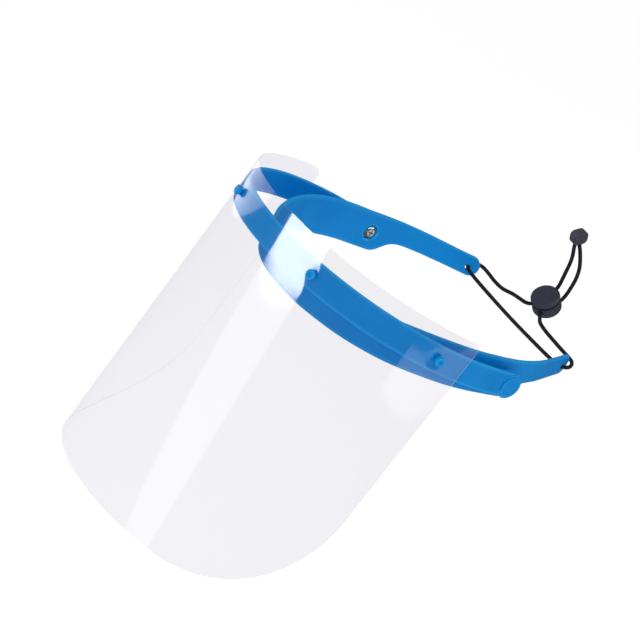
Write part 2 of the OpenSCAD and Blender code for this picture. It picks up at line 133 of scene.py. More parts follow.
class Shaders:
    """The shader groups that several finishes share."""

    def __init__(self) -> None:
        """Builds each group once."""
        self.grain = self._grain()
        self.scuffs = self._scuffs()
        self.braid = self._braid()

    def _grain(self) -> bpy.types.NodeTree:
        """Fine moulded grain: a height and a slow blotch mask.

        Returns:
            The group.
        """
        group = new_group("MouldedGrain",
                          [("Vector", "NodeSocketVector", 0), ("Grain scale", "NodeSocketFloat", 4000),
                           ("Blotch scale", "NodeSocketFloat", 60)],
                          [("Height", "NodeSocketFloat"), ("Blotch", "NodeSocketFloat")])
        nodes, links = group.nodes, group.links
        enter, leave = nodes.new("NodeGroupInput"), nodes.new("NodeGroupOutput")
        fine = nodes.new("ShaderNodeTexNoise")
        fine.inputs["Detail"].default_value = 3
        slow = nodes.new("ShaderNodeTexNoise")
        slow.inputs["Detail"].default_value = 2
        contrast = nodes.new("ShaderNodeMapRange")
        contrast.inputs["From Min"].default_value = 0.35
        contrast.inputs["From Max"].default_value = 0.65
        links.new(enter.outputs["Vector"], fine.inputs["Vector"])
        links.new(enter.outputs["Grain scale"], fine.inputs["Scale"])
        links.new(enter.outputs["Vector"], slow.inputs["Vector"])
        links.new(enter.outputs["Blotch scale"], slow.inputs["Scale"])
        links.new(fine.outputs["Fac"], leave.inputs["Height"])
        links.new(slow.outputs["Fac"], contrast.inputs["Value"])
        links.new(contrast.outputs["Result"], leave.inputs["Blotch"])
        return group

    def _scuffs(self) -> bpy.types.NodeTree:
        """Sparse hair-fine handling scuffs as a mask.

        Returns:
            The group.
        """
        group = new_group("HandlingScuffs",
                          [("Vector", "NodeSocketVector", 0), ("Scale", "NodeSocketFloat", 90),
                           ("Amount", "NodeSocketFloat", 0.5)], [("Mask", "NodeSocketFloat")])
        nodes, links = group.nodes, group.links
        enter, leave = nodes.new("NodeGroupInput"), nodes.new("NodeGroupOutput")
        stretch = nodes.new("ShaderNodeMapping")
        stretch.inputs["Scale"].default_value = (0.25, 1.0, 4.0)
        stretch.inputs["Rotation"].default_value = (0.3, 0.5, 0.2)
        lines = nodes.new("ShaderNodeTexNoise")
        lines.inputs["Detail"].default_value = 4
        cut = nodes.new("ShaderNodeMapRange")
        cut.inputs["From Min"].default_value = 0.60
        cut.inputs["From Max"].default_value = 0.72
        scale = nodes.new("ShaderNodeMath")
        scale.operation = "MULTIPLY"
        links.new(enter.outputs["Vector"], stretch.inputs["Vector"])
        links.new(stretch.outputs["Vector"], lines.inputs["Vector"])
        links.new(enter.outputs["Scale"], lines.inputs["Scale"])
        links.new(lines.outputs["Fac"], cut.inputs["Value"])
        links.new(cut.outputs["Result"], scale.inputs[0])
        links.new(enter.outputs["Amount"], scale.inputs[1])
        links.new(scale.outputs["Value"], leave.inputs["Mask"])
        return group

    def _braid(self) -> bpy.types.NodeTree:
        """Crossing yarns of a braided cover, from a map that runs along and around the cord.

        Returns:
            The group.
        """
        group = new_group("BraidedCover",
                          [("Vector", "NodeSocketVector", 0), ("Along", "NodeSocketFloat", 150),
                           ("Around", "NodeSocketFloat", 6)],
                          [("Height", "NodeSocketFloat")])
        nodes, links = group.nodes, group.links
        enter, leave = nodes.new("NodeGroupInput"), nodes.new("NodeGroupOutput")
        split = nodes.new("ShaderNodeSeparateXYZ")
        links.new(enter.outputs["Vector"], split.inputs["Vector"])
        along, around = (self._math(group, "MULTIPLY") for _ in range(2))
        links.new(split.outputs["X"], along.inputs[0])
        links.new(enter.outputs["Along"], along.inputs[1])
        links.new(split.outputs["Y"], around.inputs[0])
        links.new(enter.outputs["Around"], around.inputs[1])
        waves = []
        for operation in ("ADD", "SUBTRACT"):
            turn = self._math(group, operation)
            links.new(along.outputs[0], turn.inputs[0])
            links.new(around.outputs[0], turn.inputs[1])
            full = self._math(group, "MULTIPLY")
            full.inputs[1].default_value = 2 * math.pi
            links.new(turn.outputs[0], full.inputs[0])
            wave = self._math(group, "SINE")
            links.new(full.outputs[0], wave.inputs[0])
            waves.append(wave)
        over = self._math(group, "MAXIMUM")
        links.new(waves[0].outputs[0], over.inputs[0])
        links.new(waves[1].outputs[0], over.inputs[1])
        links.new(over.outputs[0], leave.inputs["Height"])
        return group

    @staticmethod
    def _math(group: bpy.types.NodeTree, operation: str) -> bpy.types.Node:
        """Adds one math node to a group.

        Args:
            group: The group.
            operation: The node's operation.

        Returns:
            The node.
        """
        node = group.nodes.new("ShaderNodeMath")
        node.operation = operation
        return node


def place_group(tree: bpy.types.NodeTree, group: bpy.types.NodeTree,
                vector: bpy.types.NodeSocket, values: dict[str, float]) -> bpy.types.Node:
    """Places a shader group in a material.

    Args:
        tree: The material's node tree.
        group: The shader group.
        vector: The output that lays the group's pattern out.
        values: The values of its other inputs.

    Returns:
        The group's node.
    """
    node = tree.nodes.new("ShaderNodeGroup")
    node.node_tree = group
    for label, value in values.items():
        node.inputs[label].default_value = value
    tree.links.new(vector, node.inputs["Vector"])
    return node


def blend_colours(tree: bpy.types.NodeTree, mask: bpy.types.NodeSocket,
                  low: tuple[float, float, float] | bpy.types.NodeSocket,
                  high: tuple[float, float, float]) -> bpy.types.NodeSocket:
    """Blends two colours by a mask.

    Args:
        tree: The material's node tree.
        mask: The output that drives the blend.
        low: The colour where the mask is 0, or the output that gives it.
        high: The colour where the mask is 1.

    Returns:
        The output that gives the blended colour.
    """
    mix = tree.nodes.new("ShaderNodeMix")
    mix.data_type = "RGBA"
    if isinstance(low, tuple):
        mix.inputs[6].default_value = (*low, 1)
    else:
        tree.links.new(low, mix.inputs[6])
    mix.inputs[7].default_value = (*high, 1)
    tree.links.new(mask, mix.inputs[0])
    return mix.outputs[2]


def vary_gloss(tree: bpy.types.NodeTree, mask: bpy.types.NodeSocket,
               gloss: tuple[float, float]) -> bpy.types.NodeSocket:
    """Varies a roughness by a mask.

    Args:
        tree: The material's node tree.
        mask: The output that drives the roughness.
        gloss: The lowest and highest roughness.

    Returns:
        The output that gives the roughness.
    """
    rough = tree.nodes.new("ShaderNodeMapRange")
    rough.inputs["To Min"].default_value, rough.inputs["To Max"].default_value = gloss
    tree.links.new(mask, rough.inputs["Value"])
    return rough.outputs["Result"]


# ---------------------------------------------------------------- finishes


def blank_material(name: str) -> tuple[bpy.types.Material, bpy.types.Node, bpy.types.Node]:
    """Makes a material that holds only a Principled shader and its output.

    Args:
        name: The material's name.

    Returns:
        The material, its Principled shader and its output node.
    """
    material = bpy.data.materials.new(name)
    material.use_nodes = True
    nodes = material.node_tree.nodes
    nodes.clear()
    shader = nodes.new("ShaderNodeBsdfPrincipled")
    out = nodes.new("ShaderNodeOutputMaterial")
    material.node_tree.links.new(shader.outputs["BSDF"], out.inputs["Surface"])
    return material, shader, out


@dataclass(frozen=True)
class MouldedPlastic:
    """Injection-moulded plastic with a fine grain, slight blotches and a painted highlight on standing
    edges.

    Attributes:
        name: The material's name.
        deep: The colour in the blotches' dark parts.
        light: The colour in their light parts.
        gloss: The lowest and highest roughness.
        specular: The strength of the surface reflection.
        grain: The strength of the grain.
        edge_highlight: The colour of the painted highlight that standing edges take.
        grain_scale: The fineness of the grain.
        grain_depth: Its depth at full strength.
        blotch_scale: The fineness of the blotches.
        scuff_scale: The fineness of the scuffs.
        scuffs: What the scuffs add to the roughness.
    """

    name: str
    deep: tuple[float, float, float]
    light: tuple[float, float, float]
    gloss: tuple[float, float]
    specular: float
    grain: float
    edge_highlight: tuple[float, float, float]
    grain_scale: float = 2600
    grain_depth: float = 0.02 * MM
    blotch_scale: float = 45
    scuff_scale: float = 160
    scuffs: float = 0.12

    def build(self, shaders: Shaders) -> bpy.types.Material:
        """Builds the finish.

        Args:
            shaders: The shared shader groups.

        Returns:
            The material.
        """
        material, shader, _ = blank_material(self.name)
        tree = material.node_tree
        nodes, links = tree.nodes, tree.links
        place = nodes.new("ShaderNodeTexCoord").outputs["Object"]
        grain = place_group(tree, shaders.grain, place, {
            "Grain scale": self.grain_scale, "Blotch scale": self.blotch_scale})
        scuffs = place_group(tree, shaders.scuffs, place, {
            "Scale": self.scuff_scale, "Amount": self.scuffs})
        colour = blend_colours(tree, grain.outputs["Blotch"], self.deep, self.light)
        # painted highlight: standing corners are lightened towards the edge highlight colour, wherever
        # the lamps are
        standing = nodes.new("ShaderNodeAttribute")
        standing.attribute_name = "edge"
        highlit = blend_colours(tree, standing.outputs["Fac"], colour, self.edge_highlight)
        links.new(highlit, shader.inputs["Base Color"])
        worn = nodes.new("ShaderNodeMath")
        worn.operation = "ADD"
        links.new(vary_gloss(tree, grain.outputs["Blotch"], self.gloss), worn.inputs[0])
        links.new(scuffs.outputs["Mask"], worn.inputs[1])
        links.new(worn.outputs["Value"], shader.inputs["Roughness"])
        bump = nodes.new("ShaderNodeBump")
        bump.inputs["Strength"].default_value = self.grain
        bump.inputs["Distance"].default_value = self.grain_depth
        links.new(grain.outputs["Height"], bump.inputs["Height"])
        links.new(bump.outputs["Normal"], shader.inputs["Normal"])
        shader.inputs["Specular IOR Level"].default_value = self.specular
        return material


@dataclass(frozen=True)
class ClearFilm:
    """Clear, faintly milky polyester film.

    Attributes:
        tint: The colour that one face of the film lets through.
        behind: The same, for a face that is seen through another sheet of the film.
        mirror: The share that a face mirrors when seen square on.
        grazing: The share that it mirrors when seen edge on.
        falloff: How far round the bend the mirroring begins to grow.
        haze: The share of light that a face scatters.
        milk: The colour of that light.
        polish: The roughness where the film carries no scuffs.
        scuff_scale: The fineness of the scuffs.
        scuffs: What the scuffs add to the roughness.
        faces: The number of faces of one sheet.
    """

    tint: tuple[float, float, float] = (0.952, 0.947, 0.965)
    behind: tuple[float, float, float] = (0.997, 0.997, 1.0)
    mirror: float = 0.04
    grazing: float = 0.10
    falloff: float = 0.12
    haze: float = 0.004
    milk: tuple[float, float, float] = (0.93, 0.94, 0.97)
    polish: float = 0.045
    scuff_scale: float = 60
    scuffs: float = 0.03
    faces: int = 2

    def build(self, shaders: Shaders) -> bpy.types.Material:
        """Builds the finish.

        Args:
            shaders: The shared shader groups.

        Returns:
            The material.
        """
        material, shader, out = blank_material("clear_film")
        tree = material.node_tree
        nodes, links = tree.nodes, tree.links
        place = nodes.new("ShaderNodeTexCoord").outputs["Object"]
        scuffs = place_group(tree, shaders.scuffs, place, {
            "Scale": self.scuff_scale, "Amount": self.scuffs})
        rough = nodes.new("ShaderNodeMath")
        rough.operation = "ADD"
        rough.inputs[1].default_value = self.polish
        links.new(scuffs.outputs["Mask"], rough.inputs[0])
        links.new(rough.outputs["Value"], shader.inputs["Roughness"])
        shader.inputs["Base Color"].default_value = (1, 1, 1, 1)
        shader.inputs["Metallic"].default_value = 1
        rays, first = nodes.new("ShaderNodeLightPath"), nodes.new("ShaderNodeMath")
        first.operation = "LESS_THAN"
        first.inputs[1].default_value = self.faces - 0.5
        links.new(rays.outputs["Transparent Depth"], first.inputs[0])
        clear = nodes.new("ShaderNodeBsdfTransparent")
        tone = blend_colours(tree, first.outputs["Value"], self.behind, self.tint)
        links.new(tone, clear.inputs["Color"])
        milk = nodes.new("ShaderNodeBsdfTranslucent")
        milk.inputs["Color"].default_value = (*self.milk, 1)
        body = nodes.new("ShaderNodeMixShader")
        body.inputs["Fac"].default_value = self.haze
        links.new(clear.outputs["BSDF"], body.inputs[1])
        links.new(milk.outputs["BSDF"], body.inputs[2])
        bend = nodes.new("ShaderNodeLayerWeight")
        bend.inputs["Blend"].default_value = self.falloff
        share = nodes.new("ShaderNodeMapRange")
        share.inputs["To Min"].default_value = self.mirror
        share.inputs["To Max"].default_value = self.grazing
        links.new(bend.outputs["Facing"], share.inputs["Value"])
        seen = nodes.new("ShaderNodeMath")
        seen.operation = "MULTIPLY"
        links.new(share.outputs["Result"], seen.inputs[0])
        links.new(first.outputs["Value"], seen.inputs[1])
        top = nodes.new("ShaderNodeMixShader")
        links.new(seen.outputs["Value"], top.inputs["Fac"])
        links.new(body.outputs["Shader"], top.inputs[1])
        links.new(shader.outputs["BSDF"], top.inputs[2])
        links.new(top.outputs["Shader"], out.inputs["Surface"])
        return material


@dataclass(frozen=True)
class CutEdge:
    """The film's cut edge, which gathers and scatters light.

    Attributes:
        colour: The colour that it scatters.
        clear: The share of light that passes it.
        gloss: The lowest and highest roughness.
        blotch_scale: The fineness of the change between them.
    """

    colour: tuple[float, float, float] = (0.84, 0.86, 0.90)
    clear: float = 0.70
    gloss: tuple[float, float] = (0.35, 0.5)
    blotch_scale: float = 300

    def build(self, shaders: Shaders) -> bpy.types.Material:
        """Builds the finish.

        Args:
            shaders: The shared shader groups.

        Returns:
            The material.
        """
        material, shader, out = blank_material("film_cut_edge")
        tree = material.node_tree
        nodes, links = tree.nodes, tree.links
        place = nodes.new("ShaderNodeTexCoord").outputs["Object"]
        grain = place_group(tree, shaders.grain, place, {"Blotch scale": self.blotch_scale})
        links.new(vary_gloss(tree, grain.outputs["Blotch"], self.gloss), shader.inputs["Roughness"])
        shader.inputs["Base Color"].default_value = (*self.colour, 1)
        passing = nodes.new("ShaderNodeBsdfTransparent")
        both = nodes.new("ShaderNodeMixShader")
        both.inputs["Fac"].default_value = self.clear
        links.new(shader.outputs["BSDF"], both.inputs[1])
        links.new(passing.outputs["BSDF"], both.inputs[2])
        links.new(both.outputs["Shader"], out.inputs["Surface"])
        return material


@dataclass(frozen=True)
class Metal:
    """Plated or turned metal with slight variation in its gloss.

    Attributes:
        name: The material's name.
        colour: Its colour.
        gloss: The lowest and highest roughness.
        blotch_scale: The fineness of the change between them.
    """

    name: str
    colour: tuple[float, float, float]
    gloss: tuple[float, float]
    blotch_scale: float = 400

    def build(self, shaders: Shaders) -> bpy.types.Material:
        """Builds the finish.

        Args:
            shaders: The shared shader groups.

        Returns:
            The material.
        """
        material, shader, _ = blank_material(self.name)
        tree = material.node_tree
        place = tree.nodes.new("ShaderNodeTexCoord").outputs["Object"]
        grain = place_group(tree, shaders.grain, place, {"Blotch scale": self.blotch_scale})
        rough = vary_gloss(tree, grain.outputs["Blotch"], self.gloss)
        tree.links.new(rough, shader.inputs["Roughness"])
        shader.inputs["Base Color"].default_value = (*self.colour, 1)
        shader.inputs["Metallic"].default_value = 1
        return material


@dataclass(frozen=True)
class BraidedCord:
    """Black braided cover over an elastic core.

    Attributes:
        yarn: The colour of the yarns.
        gap: The colour between them.
        length: The cord's length, which sets the number of crossings.
        pitch: The distance from crossing to crossing.
        around: The number of crossings round the cord.
        depth: The depth of the grooves between the yarns at full strength.
        strength: The strength of those grooves.
        roughness: The roughness of the yarns.
        specular: The strength of their surface reflection.
        fuzz: The strength of the sheen of loose fibres.
    """

    yarn: tuple[float, float, float]
    gap: tuple[float, float, float]
    length: float
    pitch: float = 1.7 * MM
    around: int = 4
    depth: float = 0.05 * MM
    strength: float = 0.3
    roughness: float = 0.62
    specular: float = 0.15
    fuzz: float = 0.05

    def build(self, shaders: Shaders) -> bpy.types.Material:
        """Builds the finish.

        Args:
            shaders: The shared shader groups.

        Returns:
            The material.
        """
        material, shader, _ = blank_material("braided_cord")
        tree = material.node_tree
        nodes, links = tree.nodes, tree.links
        place = nodes.new("ShaderNodeUVMap")
        place.uv_map = "UVMap"
        braid = place_group(tree, shaders.braid, place.outputs["UV"], {
            "Along": round(self.length / self.pitch), "Around": self.around})
        colour = blend_colours(tree, braid.outputs["Height"], self.gap, self.yarn)
        links.new(colour, shader.inputs["Base Color"])
        bump = nodes.new("ShaderNodeBump")
        bump.inputs["Strength"].default_value = self.strength
        bump.inputs["Distance"].default_value = self.depth
        links.new(braid.outputs["Height"], bump.inputs["Height"])
        links.new(bump.outputs["Normal"], shader.inputs["Normal"])
        shader.inputs["Roughness"].default_value = self.roughness
        shader.inputs["Specular IOR Level"].default_value = self.specular
        shader.inputs["Sheen Weight"].default_value = self.fuzz
        return material


# ---------------------------------------------------------------- plan curves and side profiles


@dataclass(frozen=True)
class PlanCurve:
    """The middle line of a moulded strip seen from above, measured from the middle of its front.

    It is a front arc, a side arc, a straight run to the pivot, and where there is an arm behind
    the pivot, an arc and a straight run to the arm's end. Angles are in degrees.

    Attributes:
        width: The distance between the line's two sides at the pivots.
        flare: How far the run ahead of the pivot leans outward.
        run: The length of that run.
        side_radius: The radius of the side arc.
        side_turn: How far the side arc turns.
        arm_radius: The radius of the arc behind the pivot.
        arm_turn: How far that arc turns.
        arm_run: The length of the straight run to the arm's end.
    """

    width: float
    flare: float
    run: float
    side_radius: float
    side_turn: float
    arm_radius: float = 1.0
    arm_turn: float = 0.0
    arm_run: float = 0.0

    @property
    def run_end(self) -> tuple[float, float]:
        """The place where the straight run ahead of the pivot meets the side arc."""
        a = math.radians(self.flare)
        return self.width / 2 + self.run * math.sin(a), -self.run * math.cos(a)

    @property
    def side_centre(self) -> tuple[float, float]:
        """The centre of the side arc.

        Returns:
            Its X and Y on the wearer's left.
        """
        a = math.radians(self.flare)
        x, y = self.run_end
        return x - self.side_radius * math.cos(a), y - self.side_radius * math.sin(a)

    @property
    def front_radius(self) -> float:
        """The radius of the front arc, which is tangent to the side arcs."""
        a = math.radians(self.flare - self.side_turn)
        return (self.side_centre[0] + self.side_radius * math.cos(a)) / math.cos(a)

    @property
    def front_centre_y(self) -> float:
        """The place of the front arc's centre on the middle plane.

        Returns:
            Its Y.
        """
        a = math.radians(self.flare - self.side_turn)
        start = self.side_centre[1] + self.side_radius * math.sin(a)
        return start - self.front_radius * math.sin(a)

    @property
    def lengths(self) -> tuple[float, float, float, float, float]:
        """The lengths of the curve's stretches on one side.

        Returns:
            The front arc, the side arc, the run, the arm's arc and the arm's run.
        """
        front = self.front_radius * math.radians(90 + self.flare - self.side_turn)
        side = self.side_radius * math.radians(self.side_turn)
        return front, side, self.run, self.arm_radius * math.radians(self.arm_turn), self.arm_run

    @property
    def reach(self) -> float:
        """The length from the middle of the front to the end on one side."""
        return sum(self.lengths)

    def at(self, s: float) -> tuple[float, float, float]:
        """Finds a point of the middle line.

        Args:
            s: The distance from the middle of the front, negative on the wearer's right.

        Returns:
            X, Y and the direction of the outward normal in radians, for the side of s.
        """
        if s < 0:
            x, y, a = self.at(-s)
            return -x, y, math.pi - a
        front, side, run, arc, _ = self.lengths
        flare = math.radians(self.flare)
        if s <= front:
            a = -math.pi / 2 + s / self.front_radius
            return (self.front_radius * math.cos(a),
                    self.front_centre_y + self.front_radius * math.sin(a), a)
        s -= front
        if s <= side:
            a = flare - math.radians(self.side_turn) + s / self.side_radius
            cx, cy = self.side_centre
            return cx + self.side_radius * math.cos(a), cy + self.side_radius * math.sin(a), a
        s -= side
        if s <= run or self.arm_turn == 0:
            x, y = self.run_end
            return x - s * math.sin(flare), y + s * math.cos(flare), flare
        s -= run
        cx = self.width / 2 - self.arm_radius * math.cos(flare)
        cy = -self.arm_radius * math.sin(flare)
        a = flare + min(s, arc) / self.arm_radius
        x, y = cx + self.arm_radius * math.cos(a), cy + self.arm_radius * math.sin(a)
        rest = max(0.0, s - arc)
        return x - rest * math.sin(a), y + rest * math.cos(a), a

    def place(self, s: float, offset: float, z: float) -> Vector:
        """The point at s, moved outward by offset and up to z."""
        x, y, a = self.at(s)
        return Vector((x + offset * math.cos(a), y + offset * math.sin(a), z))

    def axis_at(self, s: float, z: float) -> Matrix:
        """Makes a frame whose Z points along the outward normal.

        Args:
            s: The distance of its origin from the middle of the front.
            z: The height of its origin.

        Returns:
            The frame.
        """
        a = self.at(s)[2]
        turn = Matrix.Rotation(a, 4, "Z") @ Matrix.Rotation(math.pi / 2, 4, "Y")
        return Matrix.Translation(self.place(s, 0, z)) @ turn


def smooth_line(points: Sequence[tuple[float, ...]], pieces: int) -> list[tuple[float, ...]]:
    """Runs a smooth line through points.

    Args:
        points: The points.
        pieces: How many pieces lie between neighbours.

    Returns:
        The finer points.
    """
    line: list[tuple[float, ...]] = []
    last = len(points) - 1
    for i in range(last):
        a, b, c, d = (points[max(i - 1, 0)], points[i], points[i + 1], points[min(i + 2, last)])
        for k in range(pieces):
            t = k / pieces
            line.append(tuple(0.5 * (2 * q + (r - p) * t + (2 * p - 5 * q + 4 * r - w) * t * t
                                     + (3 * q - p - 3 * r + w) * t ** 3)
                              for p, q, r, w in zip(a, b, c, d)))
    return line + [tuple(points[last])]


def height_on(line: Sequence[tuple[float, ...]], y: float) -> float:
    """Finds the height of a line at y.

    Args:
        line: The line's (y, z) points, by rising y.
        y: The place.

    Returns:
        The height.
    """
    if y <= line[0][0]:
        return line[0][1]
    for (y0, z0), (y1, z1) in zip(line, line[1:]):
        if y <= y1:
            return z0 + (z1 - z0) * (y - y0) / max(y1 - y0, 1e-9)
    return line[-1][1]


# ---------------------------------------------------------------- modelling helpers


def object_from(name: str, shape: bmesh.types.BMesh) -> bpy.types.Object:
    """Turns a bmesh into an object with its normals outward.

    Args:
        name: The object's name.
        shape: The bmesh, which is freed.

    Returns:
        The object, linked to the scene.
    """
    bmesh.ops.recalc_face_normals(shape, faces=shape.faces)
    mesh = bpy.data.meshes.new(name)
    shape.to_mesh(mesh)
    shape.free()
    obj = bpy.data.objects.new(name, mesh)
    bpy.context.scene.collection.objects.link(obj)
    return obj


def settle(obj: bpy.types.Object) -> bpy.types.Object:
    """Applies an object's modifiers to its mesh, and shades it smooth up to its sharp edges.

    Args:
        obj: The object.

    Returns:
        The same object.
    """
    graph = bpy.context.evaluated_depsgraph_get()
    mesh = bpy.data.meshes.new_from_object(obj.evaluated_get(graph))
    obj.modifiers.clear()
    obj.data = mesh
    mesh.shade_smooth()
    mesh.set_sharp_from_angle(angle=SHARP)
    return obj


def mark_edges(obj: bpy.types.Object) -> None:
    """Stores how far each corner of the mesh stands out, for the painted highlight on moulded edges.

    Args:
        obj: The finished object.
    """
    shape = bmesh.new()
    shape.from_mesh(obj.data)
    shape.normal_update()
    values = []
    for vert in shape.verts:
        lean = [(e.other_vert(vert).co - vert.co).normalized().dot(vert.normal)
                for e in vert.link_edges]
        values.append(min(1.0, max(0.0, -EDGE_GAIN * sum(lean) / max(1, len(lean)))))
    shape.free()
    layer = obj.data.attributes.new("edge", "FLOAT", "POINT")
    layer.data.foreach_set("value", values)


def combine(obj: bpy.types.Object, tools: Sequence[bpy.types.Object], operation: str) -> None:
    """Joins shapes to an object or cuts them from it.

    Args:
        obj: The object that is changed.
        tools: The shapes, which are used up.
        operation: UNION or DIFFERENCE.
    """
    for tool in tools:
        step = obj.modifiers.new("combine", "BOOLEAN")
        step.operation = operation
        step.solver = "EXACT"
        step.object = tool
    settle(obj)
    for tool in tools:
        bpy.data.objects.remove(tool)


def turned(name: str, profile: Sequence[tuple[float, float]], place: Matrix,
           steps: int = 64) -> bpy.types.Object:
    """Turns a profile about Z and puts the solid in place.

    Args:
        name: The object's name.
        profile: Radius and height of each corner, in order round the closed section. A profile
            that starts and ends on the axis makes a solid, and any other makes a ring.
        place: The frame whose Z is the turning axis.
        steps: The number of steps in the full turn.

    Returns:
        The object.
    """
    shape = bmesh.new()
    verts = [shape.verts.new((r, 0, z)) for r, z in profile]
    edges = [shape.edges.new(pair) for pair in zip(verts, verts[1:])]
    if profile[0][0] > 0:
        edges.append(shape.edges.new((verts[-1], verts[0])))
    bmesh.ops.spin(shape, geom=verts + edges, axis=(0, 0, 1), cent=(0, 0, 0), steps=steps,
                   angle=2 * math.pi, use_merge=True)
    bmesh.ops.remove_doubles(shape, verts=shape.verts, dist=1e-7)
    bmesh.ops.transform(shape, matrix=place, verts=shape.verts)
    return object_from(name, shape)


def rounded(profile: Sequence[tuple[float, float, float]], steps: int = 5
            ) -> list[tuple[float, float]]:
    """Rounds the corners of a profile.

    Args:
        profile: Radius, height and rounding of each corner.
        steps: The number of pieces in each rounding.

    Returns:
        The corners of the rounded profile.
    """
    out: list[tuple[float, float]] = []
    count = len(profile)
    for i, (r, z, size) in enumerate(profile):
        if size <= 0 or i in (0, count - 1):
            out.append((r, z))
            continue
        here = Vector((r, z))
        back = Vector(profile[i - 1][:2]) - here
        ahead = Vector(profile[i + 1][:2]) - here
        size = min(size, back.length * 0.49, ahead.length * 0.49)
        p, q = here + back.normalized() * size, here + ahead.normalized() * size
        for k in range(steps + 1):
            t = k / steps
            point = p * (1 - t) ** 2 + here * (2 * t * (1 - t)) + q * t * t
            out.append((point.x, point.y))
    return out


def curved_strip(name: str, curve: PlanCurve, stations: Sequence[float], rows: int,
                 edges: Callable[[float], tuple[float, float]], offset: float,
                 thickness: float, rounding: float,
                 relief: Callable[[float, float], float] = lambda s, z: 0.0,
                 finishes: Sequence[bpy.types.Material] = ()) -> bpy.types.Object:
    """Bends a flat grid along a plan curve and gives it its wall.

    Args:
        name: The object's name.
        curve: The plan curve.
        stations: The distances along the curve of the grid's columns.
        rows: The number of faces between the lower and the upper edge.
        edges: Gives the lower and the upper edge's height at a distance along the curve.
        offset: The distance of the wall's middle outward from the curve.
        thickness: The wall's thickness.
        rounding: The radius of the wall's rounded edges.
        relief: Gives how far the wall stands out of the curve at a distance and a height.
        finishes: The finish of the wall, and that of its cut edge where it differs.

    Returns:
        The object.
    """
    shape = bmesh.new()
    columns = len(stations) - 1
    bmesh.ops.create_grid(shape, x_segments=columns, y_segments=rows, size=1)
    for vert in shape.verts:
        s = stations[round((vert.co.x + 1) / 2 * columns)]
        low, high = edges(s)
        z = low + (high - low) * (vert.co.y + 1) / 2
        vert.co = curve.place(s, offset + relief(s, z), z)
    obj = object_from(name, shape)
    for finish in finishes:
        obj.data.materials.append(finish)
    wall = obj.modifiers.new("wall", "SOLIDIFY")
    wall.material_offset_rim = max(0, len(finishes) - 1)
    wall.thickness = thickness
    wall.offset = 0
    if rounding > 0:
        soft = obj.modifiers.new("rounding", "BEVEL")
        soft.width = rounding
        soft.segments = 3
        soft.limit_method = "ANGLE"
        soft.angle_limit = ROUND_OVER
        soft.use_clamp_overlap = True
    return settle(obj)


def spread(start: float, end: float, count: int) -> list[float]:
    """Evenly spaced values from start to end, both included."""
    return [start + (end - start) * i / count for i in range(count + 1)]


def dress(obj: bpy.types.Object, material: bpy.types.Material, body: Body,
          node: str) -> bpy.types.Object:
    """Gives a new piece its finish, its body and the node that it stands for.

    Args:
        obj: The piece.
        material: Its finish, where it has none yet.
        body: The body that it rides on.
        node: The node of the frame that it replaces.

    Returns:
        The piece.
    """
    if not obj.data.materials:
        obj.data.materials.append(material)
    # the share of the painted edge highlight on each corner
    mark_edges(obj)
    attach(obj, body.value)
    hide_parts(node)
    LOG.info("%s: %d faces, on %s", obj.name, len(obj.data.polygons), body.value)
    return obj


# ---------------------------------------------------------------- stage


